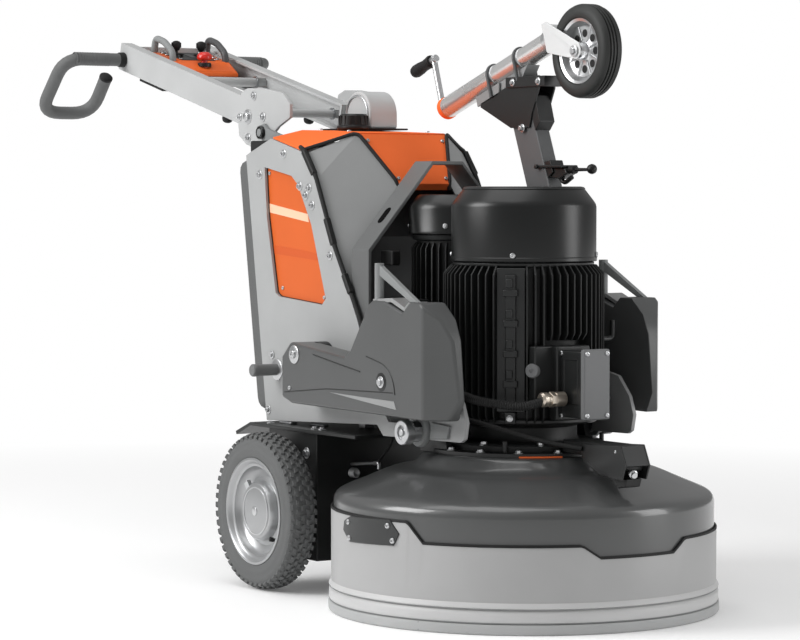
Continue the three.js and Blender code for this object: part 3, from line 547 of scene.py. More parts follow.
def make_rear_door():
    skin("rear_door", cover_grey, 2.5, segments=3)
    at = door_matrix()
    ribs = Shape("door_louvres", black_satin, "rear_door", 1.4)
    for low in (-190, 70):
        for k in range(7):
            v = low + 16 * k
            ribs.box((-120, v, 38.6), (120, v + 7, 42), at)
    panels = Shape("door_vent_panels", dark_paint, "rear_door", 1.2).box(
        (-150, -215, 37), (150, -62, 40), at)
    panels.box((-150, 48, 37), (150, 196, 40), at)
    latch = Shape("door_latch", black_plate, "rear_door", 4, segments=3).box(
        (-46, -14, 38), (46, 14, 44), at)
    latch.box((-34, -8, 43), (34, 8, 58), at)
    hinges = Shape("door_hinges", black_satin, "rear_door", 1.5)
    for v in (-180, 180):
        hinges.lathe(disc(8, -34, 34), at @ Vector((-209, v, 39)), at.to_3x3() @ Vector((0, 1, 0)), 20)
        hinges.box((-205, v - 26, 37), (-172, v + 26, 42), at)
    screws = Shape("door_screws", silver_bolt, "rear_door")
    out = at.to_3x3() @ Vector((0, 0, 1))
    for u in (-182, 182):
        for v in (-250, 0, 250):
            screws.screw(at @ Vector((u, v, 39)), out, 6)


def make_guard_loop():
    skin("guard_loop", guard_paint, 2.0)
    # Black slot-shaped plates on the guard instead of openings: painted shade in the slots.
    slots = Shape("guard_slot_shade", slot_shade_black, "chassis", 0.2)
    slope = atan2(935 - 746, 203.7 - 40)
    for side in (-1, 1):
        along = (0, side * cos(slope), -sin(slope))
        out = (0, side * sin(slope), cos(slope))
        slots.prism(slot_outline(20, 44), -1.2, 0.6,
            basis((1, 0, 0), along, out, (-318, side * 141, 818.4)))
    pads = Shape("guard_feet", black_plate, "chassis", 4, segments=3)
    for side in (-1, 1):
        pads.box((-300, side * 142, 712), (-252, side * 164, 744))
    bolts = Shape("guard_bolts", silver_bolt, "chassis", 0.4)
    for side in (-1, 1):
        for x in (-338, -298):
            bolts.bolt((x, side * 208, 560), (0, side, 0), 7, 5)


def slot_outline(width, length, steps=8):
    """A slot with round ends, its length along v."""
    r = width / 2
    straight = length / 2 - r
    return arc(0, straight, r, 0, 180, steps) + arc(0, -straight, r, 180, 360, steps)


# ---- running gear ----
def make_running_gear():
    skin("axle_housing", black_satin, 3.0, segments=3)
    skin("base_plate", black_satin, 1.6)
    details = Shape("gear_bolts", silver_bolt, "chassis", 0.5)
    for side in (-1, 1):
        for x in (-600, -477):
            details.bolt((x, side * 240, 300), (0, side, 0), 8, 6)
            details.bolt((x, side * 240, 110), (0, side, 0), 8, 6)
        for x in (-640, -450, -420):
            details.bolt((x, side * 236, 354), (0, 0, 1), 6, 4)
    make_spring()
    lugs = Shape("plate_slots", zinc, "chassis", 1.5)
    for side in (-1, 1):
        lugs.box((-634, side * 217, 354), (-584, side * 199, 359))
        lugs.box((-546, side * 190, 354), (-490, side * 176, 359))
        lugs.box((-420, side * 142, 354), (-396, side * 116, 366))
    plates = Shape("axle_flanges", black_plate, "chassis", 2)
    for side in (-1, 1):
        plates.box((-612, side * 240, 118), (-465, side * 246, 228))
        plates.lathe([[0, 0], [34, 0], [34, 8], [28, 12], [0, 12]],
            (REAR_AXLE[0], side * 244, REAR_AXLE[1]), (0, side, 0), 40)
    for name, side in SIDES:
        Shape(f"peg_{name}", peg_grey, "chassis", 0.8, [f"rest_peg_{name}"]).lathe(
            [[0, 0], [13, 0], [13, 50], [14, 52], [14, 63], [12, 66], [0, 66]], (-643, side * 216.3, 473),
            (0, side, 0), 32)
        washer = Shape(f"peg_washer_{name}", silver_bolt, "chassis", 0.4).lathe(
            [[0, 0], [24, 0], [24, 2], [22, 3], [0, 3]], (-643, side * 216, 473), (0, side, 0), 32)
        washer.bolt((-665, side * 217, 505), (0, side, 0), 6, 4)


def make_spring():
    coil = []
    turns, steps = 9, 14
    for i in range(turns * steps + 1):
        a = 2 * pi * i / steps
        coil.append((-466 + 50 * i / (turns * steps), -150 + 9 * sin(a), 256 + 9 * cos(a)))
    Shape("foot_spring", zinc).tube(coil, 2, 0, 8)
    rod = Shape("spring_rod", zinc).tube(
        [(-474, -150, 250), (-474, -150, 271), (-345, -150, 283)], 3.4, 8, 12)
    rod.tube([(-345, -150, 283), (-326, -150, 285), (-326, -150, 272)], 4.5, 4, 12)
    Shape("brake_cable", black_rubber).tube(
        [(-268, -150, 352), (-276, -150, 330), (-304, -150, 306), (-326, -150, 290)], 3, 14, 10)


# ---- wheels ----
REAR_AXLE = (-543, 172)


def make_rear_wheels():
    for name, side in SIDES:
        hub = (REAR_AXLE[0], side * 306, REAR_AXLE[1])
        axis = (0, side, 0)
        Shape(f"tyre_{name}_case", pale_tyre, f"wheel_{name}", 0, [f"tyre_{name}"], smooth=50).lathe(
            [[114, -27], [118, -31.5], [130, -33], [147, -32.5], [158, -30], [163, -26], [166.5, -18],
            [167.5, 0], [166.5, 18], [163, 26], [158, 30], [150, 32.8], [147, 32], [138, 33],
            [134, 33.8], [130, 33], [122, 32.4], [118, 31], [114, 27]], hub, axis, 96)
        make_tread(name, hub, axis)
        make_rim(name, hub, axis)


TREAD_ROWS = [(-27.5, 162, 34), (-16.5, 166.8, 10), (-5.5, 168, 0), (5.5, 168, 0), (16.5, 166.8, -10),
    (27.5, 162, -34)]


def make_tread(name, hub, axis):
    blocks = Shape(f"tread_{name}", pale_tyre, f"wheel_{name}", 0.8, segments=1)
    count = 50
    for row, (across, r, tilt) in enumerate(TREAD_ROWS):
        for k in range(count):
            angle = 360 * (k + 0.5 * (row % 2)) / count
            matrix = spoke(hub, axis, angle) @ Matrix.Translation((r - 2, across, 0))
            matrix = matrix @ Matrix.Rotation(radians(-tilt), 4, "Z")
            skew = 1.6 if row % 2 else -1.6
            rows = []
            for height, half, edge in ((-3, 4.6, 6.4), (5.8, 3.9, 5.6)):
                rows.append([(height, -half, -edge - skew), (height, half, -edge + skew),
                    (height, half, edge + skew), (height, -half, edge - skew)])
            blocks.loft(rows, matrix)


def make_rim(name, hub, axis):
    body = f"wheel_{name}"
    Shape(f"rim_{name}_dish", satin_rim, body, 0.4, [f"rim_{name}"], smooth=34).lathe(
        [[0, -65], [20, -65], [20, -18], [60, -18], [104, -26], [113.5, -29], [113.5, 28], [117, 30],
        [117, 32.5], [112, 33.5], [108, 31], [105, 25], [102, 23], [98, 22], [95, 12], [88, 6],
        [76, 2], [66, 5], [64, 19], [60, 23.5], [52, 25], [26, 27], [0, 27.5]], hub, axis, 96)
    rings = Shape(f"hub_cap_{name}", zinc, body, 0.5).lathe(
        [[0, 27], [10, 27], [10, 28.6], [8, 29.4], [0, 29.4]], hub, axis, 40)
    rings.lathe([[50, 24.6], [53, 24.6], [53, 26.2], [50, 26.4]], hub, axis, 72)
    at = spoke(hub, axis, 40 if axis[1] < 0 else -40)
    rings.box((60, 12, -7), (78, 22, 7), at)
    at = spoke(hub, axis, 128 if axis[1] > 0 else 232)
    valve = Shape(f"valve_{name}", black_rubber, body, 0.6).tube(
        [at @ Vector((98, 8, 0)), at @ Vector((88, 31, 0))], 4, 0, 14)
    valve.tube([at @ Vector((91.5, 23, 0)), at @ Vector((88, 31, 0))], 5.2, 0, 14)


# ---- swinging weights ----
def make_weights():
    for name, side in SIDES:
        body = f"weight_arm_{name}"
        axis = (0, side, 0)
        y = side * 300
        skin(f"weight_{name}", weight_grey, 7, segments=4)
        skin(f"weight_handle_{name}", shade_paint, 1.6, segments=3)
        # A thin lighter strip on the lower chamfer: a painted highlight where the chamfer catches the
        # light.
        Shape(f"weight_lower_highlight_{name}", weight_highlight_grey, body, 0.8).plate(
            [(-286, 446), (-150, 443), (-34, 441), (-24, 424), (-150, 434)], y - side, y + side * 1.2)
        shaded_grooves = Shape(f"weight_groove_shade_{name}", black_satin, body)
        # Black lines along the weight's grooves and a black disc in the recess under its bolt: painted
        # shade in the grooves and the recess.
        shaded_grooves.tube([(-352, y, 522), (-250, y, 507), (-164, y, 495)], 1.5, 20, 8)
        shaded_grooves.tube([(-140, y, 528), (-66, y, 513), (-35, y, 483), (-31, y, 454)], 1.5, 24, 8)
        shaded_grooves.tube([(-470, y, 436), (-300, y, 452), (-40, y, 458)], 1.2, 20, 8)
        shaded_grooves.lathe([[0, -1], [19, -1], [19, 0.5], [17, 1], [0, 1]], (-83, y, 478), axis, 40)
        bolts = Shape(f"weight_bolts_{name}", silver_bolt, body, 0.5).bolt((-83, y + side, 478), axis, 8, 5)
        bolts.bolt((-429, y, 519), axis, 10, 6, 12)
        bolts.lathe([[0, 0], [20, 0], [20, 2], [18, 3], [0, 3]], (-429, y, 519), axis, 40)
        bolts.screw((-449, y, 446), axis, 5)
        # The top lip in the same lighter grey: a painted highlight on it.
        Shape(f"weight_lip_{name}", weight_highlight_grey, body, 1.5).plate(
            [(-118, 640), (-52, 643), (2, 624), (22, 640), (14, 646), (-2, 634), (-50, 652), (-122, 648)],
            side * 250, side * 296)
        Shape(f"weight_boss_{name}", black_satin, body, 0.5).lathe(
            [[22, 216.5], [36, 216.5], [36, 244], [34, 246], [22, 246]], (-434, 0, 509), axis, 40)


# ---- handle ----
SLOPE = radians(13.8)  # of the handle, down towards the front
HANDLE_REAR = (-1551, 1239)
BAR_END = 677 / cos(SLOPE)
GRIP_PIVOT = (-1537, 0, 1196)


def on_handle(along, down):
    """A point on the handle frame's side view: along from its rear end, down from its top edge."""
    x, z = HANDLE_REAR
    return (x + along * cos(SLOPE) - down * sin(SLOPE), z - along * sin(SLOPE) - down * cos(SLOPE))


def on_handle3(along, down, y):
    x, z = on_handle(along, down)
    return (x, y, z)


def make_handle():
    skin("handle_frame", handle_paint, 3.0, segments=3)
    skin("handle_hinge_bracket", shade_paint, 1.2)
    bolts = Shape("handle_bolts", silver_bolt, "handle", 0.4)
    for name, side in SIDES:
        skin(f"handle_bracket_{name}", handle_paint, 1.4)
        face = side * 136.5
        for x, z, r in ((-881, 1089, 7), (-946, 1042, 6), (-909, 1042, 11), (-840, 1040, 7),
                (-907, 993, 7), (-831, 1004, 12)):
            bolts.bolt((x, face, z), (0, side, 0), r, r * 0.6, 6 if r > 10 else 12)
    rings = Shape("tube_collars", steel, "handle", 0.5)
    for along, down, r in ((294, 33, 15), (662, 30, 14)):
        for y in (-96, 94):
            rings.lathe(ring(r - 5, r, 0, 4), on_handle3(along, down, y), (0, 1, 0), 28)
    trims = Shape("handle_trims", black_rubber, "handle", 1.2).box(
        (-1460, -126, 1127), (-1340, -104, 1136), lean_about(-1400, 1132))
    for side in (-1, 1):
        trims.lathe([[0, -4], [12, -4], [13, 6], [11, 13], [6, 16], [0, 17]],
            on_handle3(BAR_END - 160, 66, side * 112), (-sin(SLOPE), 0, -cos(SLOPE)), 28)
        trims.box((-2, -9, -14), (6, 9, 14), Matrix.Translation(on_handle3(2, 34, side * 113)))
    Shape("tray_mat", black_rubber, "handle", 0.6).prism(
        [(0, -96), (184, -96), (184, 96), (0, 96)], 0, 2.5, tray_matrix(60, 52))
    make_tilt_spring()
    make_grips()


def lean_about(x, z):
    """Turns upright shapes onto the handle's slope about a point."""
    return Matrix.Translation((x, 0, z)) @ Matrix.Rotation(SLOPE, 4, "Y") @ Matrix.Translation((-x, 0, -z))


def tray_matrix(along, down):
    """u along the handle, v across it, w up from it."""
    return basis((cos(SLOPE), 0, -sin(SLOPE)), (0, 1, 0), (sin(SLOPE), 0, cos(SLOPE)),
        on_handle3(along, down, 0))


def make_tilt_spring():
    for side in (-1, 1):
        coil = []
        turns, steps = 7, 12
        for i in range(turns * steps + 1):
            a = 2 * pi * i / steps
            coil.append((-831 + 14 * cos(a), side * (141 + 11 * i / (turns * steps)), 1004 + 14 * sin(a)))
        Shape(f"tilt_spring_{side}", black_satin).tube(coil, 1.6, 0, 8)
    feet = Shape("hinge_feet", black_plate, "chassis", 3, segments=3)
    for side in (-1, 1):
        feet.box((-792, side * 150, 958), (-716, side * 198, 984))


def make_grips():
    for name, side in SIDES:
        lift = radians(43.9) if side > 0 else 0
        turn = Matrix.Translation(GRIP_PIVOT) @ Matrix.Rotation(lift, 4, "Y")
        route = [(0, side * 140, 0), (0, side * 292, 0), (-135, side * 292, -130),
            (-135, side * 150, -130), (-55, side * 150, -43)]
        path = [turn @ Vector(p) for p in route]
        Shape(f"grip_{name}_rubber", grip_rubber, f"grip_{name}", 1.5, [f"handle_grip_{name}"]).tube(
            path, 16, 55, 28)
        end = path[-1]
        along = (path[-1] - path[-2]).normalized()
        caps = Shape(f"grip_{name}_collars", black_rubber, f"grip_{name}", 0.6).lathe(
            [[0, -3], [17, -3], [17, 3], [12, 7], [0, 8]], end, along, 28)
        caps.lathe([[0, 128.6], [18.5, 128.6], [18.5, 141], [17, 144], [0, 144]], GRIP_PIVOT,
            (0, side, 0), 32)
        rings = Shape(f"grip_{name}_rings", grip_rubber, f"grip_{name}")
        for k in range(14):
            rings.lathe(
                [[15, 170 + 7 * k], [16.5, 170.8 + 7 * k], [16.5, 174.2 + 7 * k], [15, 175 + 7 * k]],
                GRIP_PIVOT, (0, side, 0), 28)


# ---- radio remote control ----
def make_remote():
    edge = outline(on_handle, (72, 52.5), (72, 12), (80, 6), (180, 6), (234, 24), (234, 52.5))
    Shape("remote_shell", orange_shell, "remote", 7, ["remote_body"], segments=4).plate(edge, -84, 84)
    Shape("remote_seam", black_rubber, "remote", 0.4).plate(
        outline(on_handle, (71, 33), (71, 36), (235, 36), (235, 33)), -84.6, 84.6)
    top = tray_matrix(76, 6)
    up = top.to_3x3() @ Vector((0, 0, 1))
    Shape("remote_panel", black_plate, "remote", 1.5, segments=3).prism(
        [(6, -62), (98, -46), (98, 46), (6, 62)], -1, 1.6, top)
    Shape("remote_slope", orange_shell, "remote", 1).plate(
        outline(on_handle, (180, 5.2), (180, 8), (228, 24), (228, 21)), -66, 66)
    # The near bow is drawn in a lighter grey and the far bow in a darker grey: painted light and painted
    # shade on the two sides.
    for side, mat in ((-1, shade_paint), (1, dark_paint)):
        y = side * 74
        bow = outline(on_handle3, (76, 10, y), (76, -29, y), (122, -29, y), (170, -12, y), (176, 12, y))
        Shape(f"remote_bow_{side}", mat, "remote").tube(bow, 8.5, 16, 18)
    boots = Shape("remote_boots", black_rubber, "remote", 0.5)
    knobs = Shape("remote_toggles", silver_bolt, "remote")
    for side in (-1, 1):
        x, z = on_handle(118, 4)
        boots.lathe([[12.5, 0], [19, 0], [18.5, 2.4], [16.5, 3.4], [12.5, 3.4]], (x, side * 35, z),
            (0, 0, 1), 36)
        for u in (20, 40, 62, 82):
            at = top @ Vector((u, side * 60, 1.5))
            knobs.lathe([[0, 0], [5, 0], [4.4, 1.2], [1.8, 1.6], [1.5, 9], [0, 9.5]], at, up, 16)
    make_levers()
    make_stop_button()
    Shape("remote_display", black_gloss, "remote", 0.6).prism(
        [(30, -9), (74, -9), (74, 9), (30, 9)], 1.5, 2.6, top)
    corners = Shape("remote_screws", silver_bolt, "remote")
    for u in (10, 92):
        for v in (-48, 48):
            corners.screw(top @ Vector((u, v, 2)), up, 3.2)


def make_levers():
    for name, side in SIDES:
        x, z = on_handle(118, 0)
        lever = Shape(f"lever_{name}_knob", black_rubber, f"lever_{name}", 1.5, [f"joystick_{name}"],
            segments=3).lathe(
            [[0, -30], [4, -30], [4, 6], [8, 9], [11, 17], [11.5, 24], [9, 29], [4, 31], [0, 31.4]],
            (x, side * 35, z), (0, 0, 1), 28)
        lever.box((x - 3, side * 35 - 13, z + 14), (x + 3, side * 35 + 13, z + 27))


def make_stop_button():
    x, z = on_handle(200, 0)
    Shape("stop_cap", red_plastic, "stop_button", 0.4, ["emergency_stop"]).lathe(
        [[0, -28], [8, -28], [8, 0], [15, 1], [18.5, 5], [18.5, 10], [16, 16], [10, 20], [0, 21]],
        (x, 0, z), (0, 0, 1), 40)
    Shape("stop_collar", black_plate, "remote", 0.5).lathe(
        [[9, -16], [17, -16], [17, -8], [15, -6], [9, -6]], (x, 0, z), (0, 0, 1), 40)


# ---- transport arm ----
LEAN = radians(21.8)  # of the mast from the upright
RISE = radians(18.5)  # of the jockey tube from the level
MAST_FOOT = (-17, 450)
TUBE_END = (-571, 1057)


def on_mast(up, forward):
    x, z = MAST_FOOT
    return (x - up * sin(LEAN) + forward * cos(LEAN), z + up * cos(LEAN) + forward * sin(LEAN))


def on_jockey(along, above):
    """A point on the jockey tube's side view: along from its crank end, above its axis."""
    x, z = TUBE_END
    return (x + along * cos(RISE) - above * sin(RISE), z + along * sin(RISE) + above * cos(RISE))


def jockey3(along, above, y=189):
    x, z = on_jockey(along, above)
    return (x, y, z)


TUBE = jockey3(0, 0), (cos(RISE), 0, sin(RISE))


def make_mast():
    body = "transport_arm"
    Shape("mast_tube", mast_grey, body, 4, ["transport_mast"], segments=3).plate(
        outline(on_mast, (-38, -40), (-38, 40), (676, 40), (676, -40)), 171, 207)
    gussets = Shape("mast_gussets", black_satin, body, 1.4)
    edge = [on_jockey(165, -46), on_jockey(300, -46), (-180, 1121), (-180, 1092), (-205, 1040),
        (-215, 1008), (-285, 1008), (-402, 1056)]
    gussets.plate(edge, 166, 170.5).plate(edge, 207.5, 212)
    gussets.box((-296, 160, 1096), (-150, 218, 1119))
    gussets.plate(outline(on_mast, (578, 38), (590, 62), (650, 66), (664, 52), (664, 38)), 169, 209)
    cradle = Shape("jockey_cradle", panel_paint, body, 1.2)
    cradle.plate(outline(on_jockey, (150, -24.6), (352, -24.6), (320, -48), (150, -48)), 172, 206)
    for y in ((166, 171), (207, 212)):
        cradle.plate(outline(on_jockey, (150, -27), (246, -27), (236, -52), (150, -50)), *y)
    clamps = Shape("tube_clamps", dark_paint, body)
    for along in (212, 318):
        hoop = [jockey3(along, -50, 163), jockey3(along, 0, 163)]
        for k in range(13):
            a = radians(180 - 15 * k)
            hoop.append(jockey3(along, 26 * sin(a), 189 + 26 * cos(a)))
        hoop += [jockey3(along, 0, 215), jockey3(along, -50, 215)]
        clamps.tube(hoop, 4, 2, 12)
    bolts = Shape("mast_bolts", silver_bolt, body, 0.5)
    for y, out in ((160, -1), (218, 1)):
        for x in (-269, -173):
            bolts.bolt((x, y, 1107), (0, out, 0), 5.5, 4)
        for up, face, r in ((0, 171 if out < 0 else 207, 13), (600, 166 if out < 0 else 212, 6)):
            x, z = on_mast(up, 0)
            bolts.bolt((x, face, z), (0, out, 0), r, 7)
    Shape("mast_pin", steel, body, 0.4).lathe(disc(12, 207, 214), (-17, 0, 450), (0, 1, 0), 28)
    make_lock(body)


def make_lock(body):
    x, z = on_mast(486, 40)
    block = Shape("lock_block", black_satin, body, 2, segments=3).plate(
        outline(on_mast, (466, 39), (472, 62), (500, 62), (506, 39)), 172, 206)
    block.box((x - 34, 166, z + 4), (x + 62, 212, z + 10))
    block.plate([(x + 6, z + 4), (x + 62, z + 4), (x + 70, z - 8), (x + 44, z - 20), (x + 14, z - 16)],
        176, 202)
    hooks = Shape("lock_guard", black_satin, body).tube(
        [(x + 24, 189, z - 10), (x + 44, 189, z - 30), (x + 72, 189, z - 16)], 5, 12, 14)
    hooks.lathe([[0, 0], [5, 0], [5, 5], [0, 6]], (x - 24, 166, z + 7), (0, -1, 0), 20)
    plunger = Shape("lock_pull", black_plate, "lock", 0, ["lock_plunger"]).lathe(
        [[0, -10], [7, -10], [7, 66], [9, 68], [9, 84], [4, 86], [3.4, 134], [0, 134]], (x, 189, z),
        (1, 0, 0), 28)
    plunger.lathe([[0, -11], [5.5, -9.6], [9.6, -5.5], [11, 0], [9.6, 5.5], [5.5, 9.6], [0, 11]],
        (x + 143, 189, z + 1), (1, 0, 0), 32)


def make_jockey_tube():
    Shape("tube_chrome", tube_steel, "transport_arm", 0.3, ["jockey_tube"]).lathe(
        [[0, -1], [21, -1], [24, 2], [24, 440], [21, 440], [21, 12], [0, 12]], *TUBE, 64)
    Shape("tube_sleeve", orange_paint, "transport_arm", 0.4).lathe(
        [[23.6, -2], [25, -1], [25.4, 2], [25.4, 9], [25, 11], [23.6, 12]], *TUBE, 56)
    collar = Shape("tube_collar", zinc, "transport_arm", 0.4).lathe(
        [[23.8, 424], [26.5, 425], [26.5, 439], [23.8, 440]], *TUBE, 56)
    for along in (212, 318):
        collar.lathe([[23.8, along - 9], [25.2, along - 8], [25.2, along + 8], [23.8, along + 9]], *TUBE,
            56)
    Shape("inner_tube", steel, "jockey_slider", 0.3, ["jockey_inner_tube"]).lathe(
        ring(9, 20, 150, 444), *TUBE, 48)


def make_crank():
    arm = Shape("crank_arm", zinc, "crank", 1.2, ["jockey_crank"], segments=3).lathe(
        [[0, -20], [10, -20], [12, -17], [12, -5], [8, -4], [8, 255], [0, 255]], *TUBE, 32)
    arm.tube(outline(jockey3, (-12, -9), (-12, 40), (-12, 132)), 7, 0, 20)
    arm.lathe(disc(9, -24, -2), jockey3(0, 124), TUBE[1], 24)
    Shape("crank_handle", black_rubber, "crank_grip_body", 0.6, ["crank_grip"]).lathe(
        [[0, -99], [9, -99], [13, -96], [15, -88], [14.5, -70], [12.5, -52], [13.5, -36], [15, -26],
        [14, -21], [0, -20]], jockey3(0, 124), TUBE[1], 40)


def make_jockey_wheel():
    skin("jockey_fork", fork_zinc, 1.0)
    hub = (-37, 189, 1167)
    axis = (0, 1, 0)
    grooves = []
    for y in (-12.5, -4.5, 3.5):
        grooves += [[100, y], [96.5, y + 1], [96.5, y + 3], [100, y + 4]]
    Shape("jockey_tread", jockey_rubber, "jockey_wheel", 0, ["jockey_tyre"], smooth=45).lathe(
        [[70, -22], [73, -25], [82, -26], [91, -24], [97, -20], [99.4, -15], *grooves, [100, 12],
        [96.5, 13], [97, 20], [91, 24], [82, 26], [73, 25], [70, 22]], hub, axis, 80)
    Shape("jockey_dish", zinc, "jockey_wheel", 0.4, ["jockey_rim"]).lathe(
        [[6.5, -24], [15, -24], [17, -21], [19, -8], [24, -5], [52, -5], [58, -9], [63, -19], [69.5, -22],
        [69.5, 22], [63, 19], [58, 9], [52, 5], [24, 5], [19, 8], [17, 21], [15, 24], [6.5, 24]], hub,
        axis, 72)
    # Black discs on the dish instead of holes: painted shade in the holes.
    shaded_holes = Shape("jockey_hole_shade", black_plate, "jockey_wheel")
    ribs = Shape("jockey_spokes", zinc, "jockey_wheel", 1.2, segments=3)
    for k in range(8):
        for out in (-1, 1):
            at = spoke(hub, axis, 45 * k) @ Vector((38, out * 5, 0))
            shaded_holes.lathe(disc(8.5, -0.4, 0.5), at, axis, 28)
            matrix = spoke(hub, axis, 45 * k + 22.5)
            ribs.box((20, out * 4, -2.4), (56, out * 7.5, 2.4), matrix)
    nuts = Shape("jockey_nuts", silver_bolt, "jockey_fork_body", 0.4)
    for y, out in ((155, -1), (223, 1)):
        nuts.bolt((-37, y, 1167), (0, out, 0), 8, 5)
    guard = Shape("jockey_seals", black_rubber, "jockey_wheel", 0.3)
    for out in (-1, 1):
        guard.lathe([[7, out * 25], [17, out * 25], [15, out * 27], [7, out * 27]], hub, axis, 32)


# ---- grinding head ----
SKIRT_STEPS = [(13, 150), (18.5, 175), (65, 175), (70.5, 215)]
PLATE_CORNERS = [(-100.4, 180), (-99.6, 201), (-95.4, 212), (-76.6, 216), (-73.1, 190), (-75, 165),
    (-96.1, 159)]


def skirt_top(angle):
    away = abs(angle - 360 if angle > 180 else angle)
    if away <= SKIRT_STEPS[0][0]:
        return SKIRT_STEPS[0][1]
    for (a, low), (b, high) in zip(SKIRT_STEPS, SKIRT_STEPS[1:]):
        if away <= b:
            return low + (high - low) * (away - a) / (b - a)
    return SKIRT_STEPS[-1][1]


def make_skirt():
    def wall(angle):
        top = skirt_top(angle)
        return [(399, 46), (402, 46), (402, top - 2), (401.4, top - 0.6), (400.5, top),
            (399.6, top - 0.6), (399, top - 2)]

    Shape("skirt_wall", skirt_paint, "skirt_body", 0, ["skirt"], smooth=30).sweep(wall)

    # A black strip along the skirt's top edge, spanning the gap to the hood: painted shadow under the
    # hood's edge.
    def top_shadow(angle):
        top = skirt_top(angle)
        return [(398.2, top - 3), (402.6, top - 3), (402.8, top), (402, top + 2), (398.8, top + 2),
            (398.2, top)]

    Shape("skirt_top_shadow", black_rubber, "skirt_body", smooth=50).sweep(top_shadow)
    # The bands are drawn lighter than the skirt wall: painted light on their upward-tilted faces.
    lip = Shape("skirt_band", band_painted_light, "skirt_body", 0, smooth=30).lathe(
        [[399, 52], [405, 51], [407, 54], [405.5, 58], [402, 63], [399, 63]], segments=180)
    lip.lathe([[396, 24], [405.6, 24], [406.6, 26], [406.6, 42], [405.6, 44], [403, 48], [396, 49]],
        segments=180)
    Shape("skirt_foot", pale_foot, "skirt_body", 0, smooth=30).lathe(
        [[395, 0], [405, 0], [407.6, 3], [408, 6], [408, 17], [406.5, 21], [395, 23]], segments=180)
    # Lines at the skirt's real joints, coloured mid grey to stand for the soft shadow in them: painted
    # shade.
    seam = Shape("skirt_seam_shadows", shade_paint, "skirt_body")
    for angle in (-66, 114):
        seam.box((405, -0.7, 2), (407.9, 0.7, 20), Matrix.Rotation(radians(angle), 4, "Z"))
    seam.lathe(ring(403, 406, 50.4, 51.6), segments=180)
    seam.lathe(ring(403, 407, 22.4, 23.8), segments=180)
    make_skirt_plate()


def plate_span(angle):
    """Lowest and highest point of the skirt plate at an angle."""
    heights = []
    for (a, za), (b, zb) in zip(PLATE_CORNERS, PLATE_CORNERS[1:] + PLATE_CORNERS[:1]):
        if min(a, b) <= angle <= max(a, b):
            t = (angle - a) / (b - a) if abs(b - a) > 1e-9 else 0
            heights.append(za + (zb - za) * t)
    return min(heights), max(heights)


def make_skirt_plate():
    def section(angle):
        low, high = plate_span(angle)
        return [(401.5, low), (404, low), (405, low + 1), (405, high - 1), (404, high), (401.5, high)]

    Shape("skirt_plate", plate_grey, "skirt_body", 0, smooth=35).sweep(section, -100.3, -73.2, 40)
    screws = Shape("skirt_screws", silver_bolt, "skirt_body", 0.3)
    for angle, z in ((-96.7, 199), (-77.3, 203.5), (-75.4, 174.6), (-96.1, 167)):
        at, out = round_post(angle, 404.8, z)
        screws.screw(at, out, 6)
    for angle in (-160, 160):
        at, out = round_post(angle, 402, 190)
        screws.lathe([[0, 0], [6, 0], [6, 10], [13, 12], [14, 18], [12, 22], [0, 23]], at, out, 28)


def make_hood():
    Shape("hood_shell", hood_grey, "head", 0, ["hood"], smooth=26).lathe(
        [[397, 140], [397, 226], [396.4, 232], [394.6, 238], [391, 243.6], [386, 248], [379, 252],
        [362, 259], [330, 272], [300, 285], [282, 292], [268, 295.6], [252, 298], [240, 301],
        [231, 305.5], [223, 312], [215, 320.5], [210, 325.5], [205, 328.6], [198, 330], [120, 330],
        [120, 325], [196, 325], [228, 298], [270, 291], [384, 242], [391, 234], [392, 140]],
        segments=180)


def make_head_plate():
    skin("head_plate", black_satin, 2.0, segments=3)
    section = [(190, 330.3), (199, 330.3), (199.6, 333.4), (190, 333.4)]
    Shape("plate_seal", orange_paint, "head", smooth=50).sweep(lambda angle: section, -38, -12, 20)
    posts = Shape("head_posts", black_satin, "head", 0.5)
    for k in range(6):
        at, _ = round_post(60 * k + 12, 172, 338)
        posts.lathe(disc(5, 0, 24), at, (0, 0, 1), 16)
    bolts = Shape("head_bolts", silver_bolt, "head", 0.4)
    for k in range(14):
        at, _ = round_post(360 * (k + 0.5) / 14, 181, 338)
        bolts.bolt(at, (0, 0, 1), 6.5, 5)
    for k in range(5):
        at, _ = round_post(90 + 45 * k, 88, 338, DRUM_AXIS)
        bolts.bolt(at, (0, 0, 1), 5.5, 5)
    hubs = Shape("pivot_bushings", zinc, "head", 0.6)
    for side in (-1, 1):
        hubs.lathe([[0, 216.5], [21, 216.5], [21, 246], [25, 247], [26, 250], [26, 266], [24, 268],
            [15, 268], [15, 262], [0, 262]], (-58, 0, 374), (0, side, 0), 48)
        hubs.bolt((-58, side * 262, 374), (0, side, 0), 8, 5)
    caps = Shape("pivot_brackets", shade_paint, "chassis", 1.2)
    for side in (-1, 1):
        caps.lathe([[21, 216.5], [34, 216.5], [34, 224], [31, 228], [21, 228]], (-58, 0, 376),
            (0, side, 0), 40)
        caps.plate([(-20, 362), (44, 366), (52, 392), (-14, 396)], side * 216.5, side * 223)


# ---- motors ----
DRUM_AXIS = (-260, 0, 0)


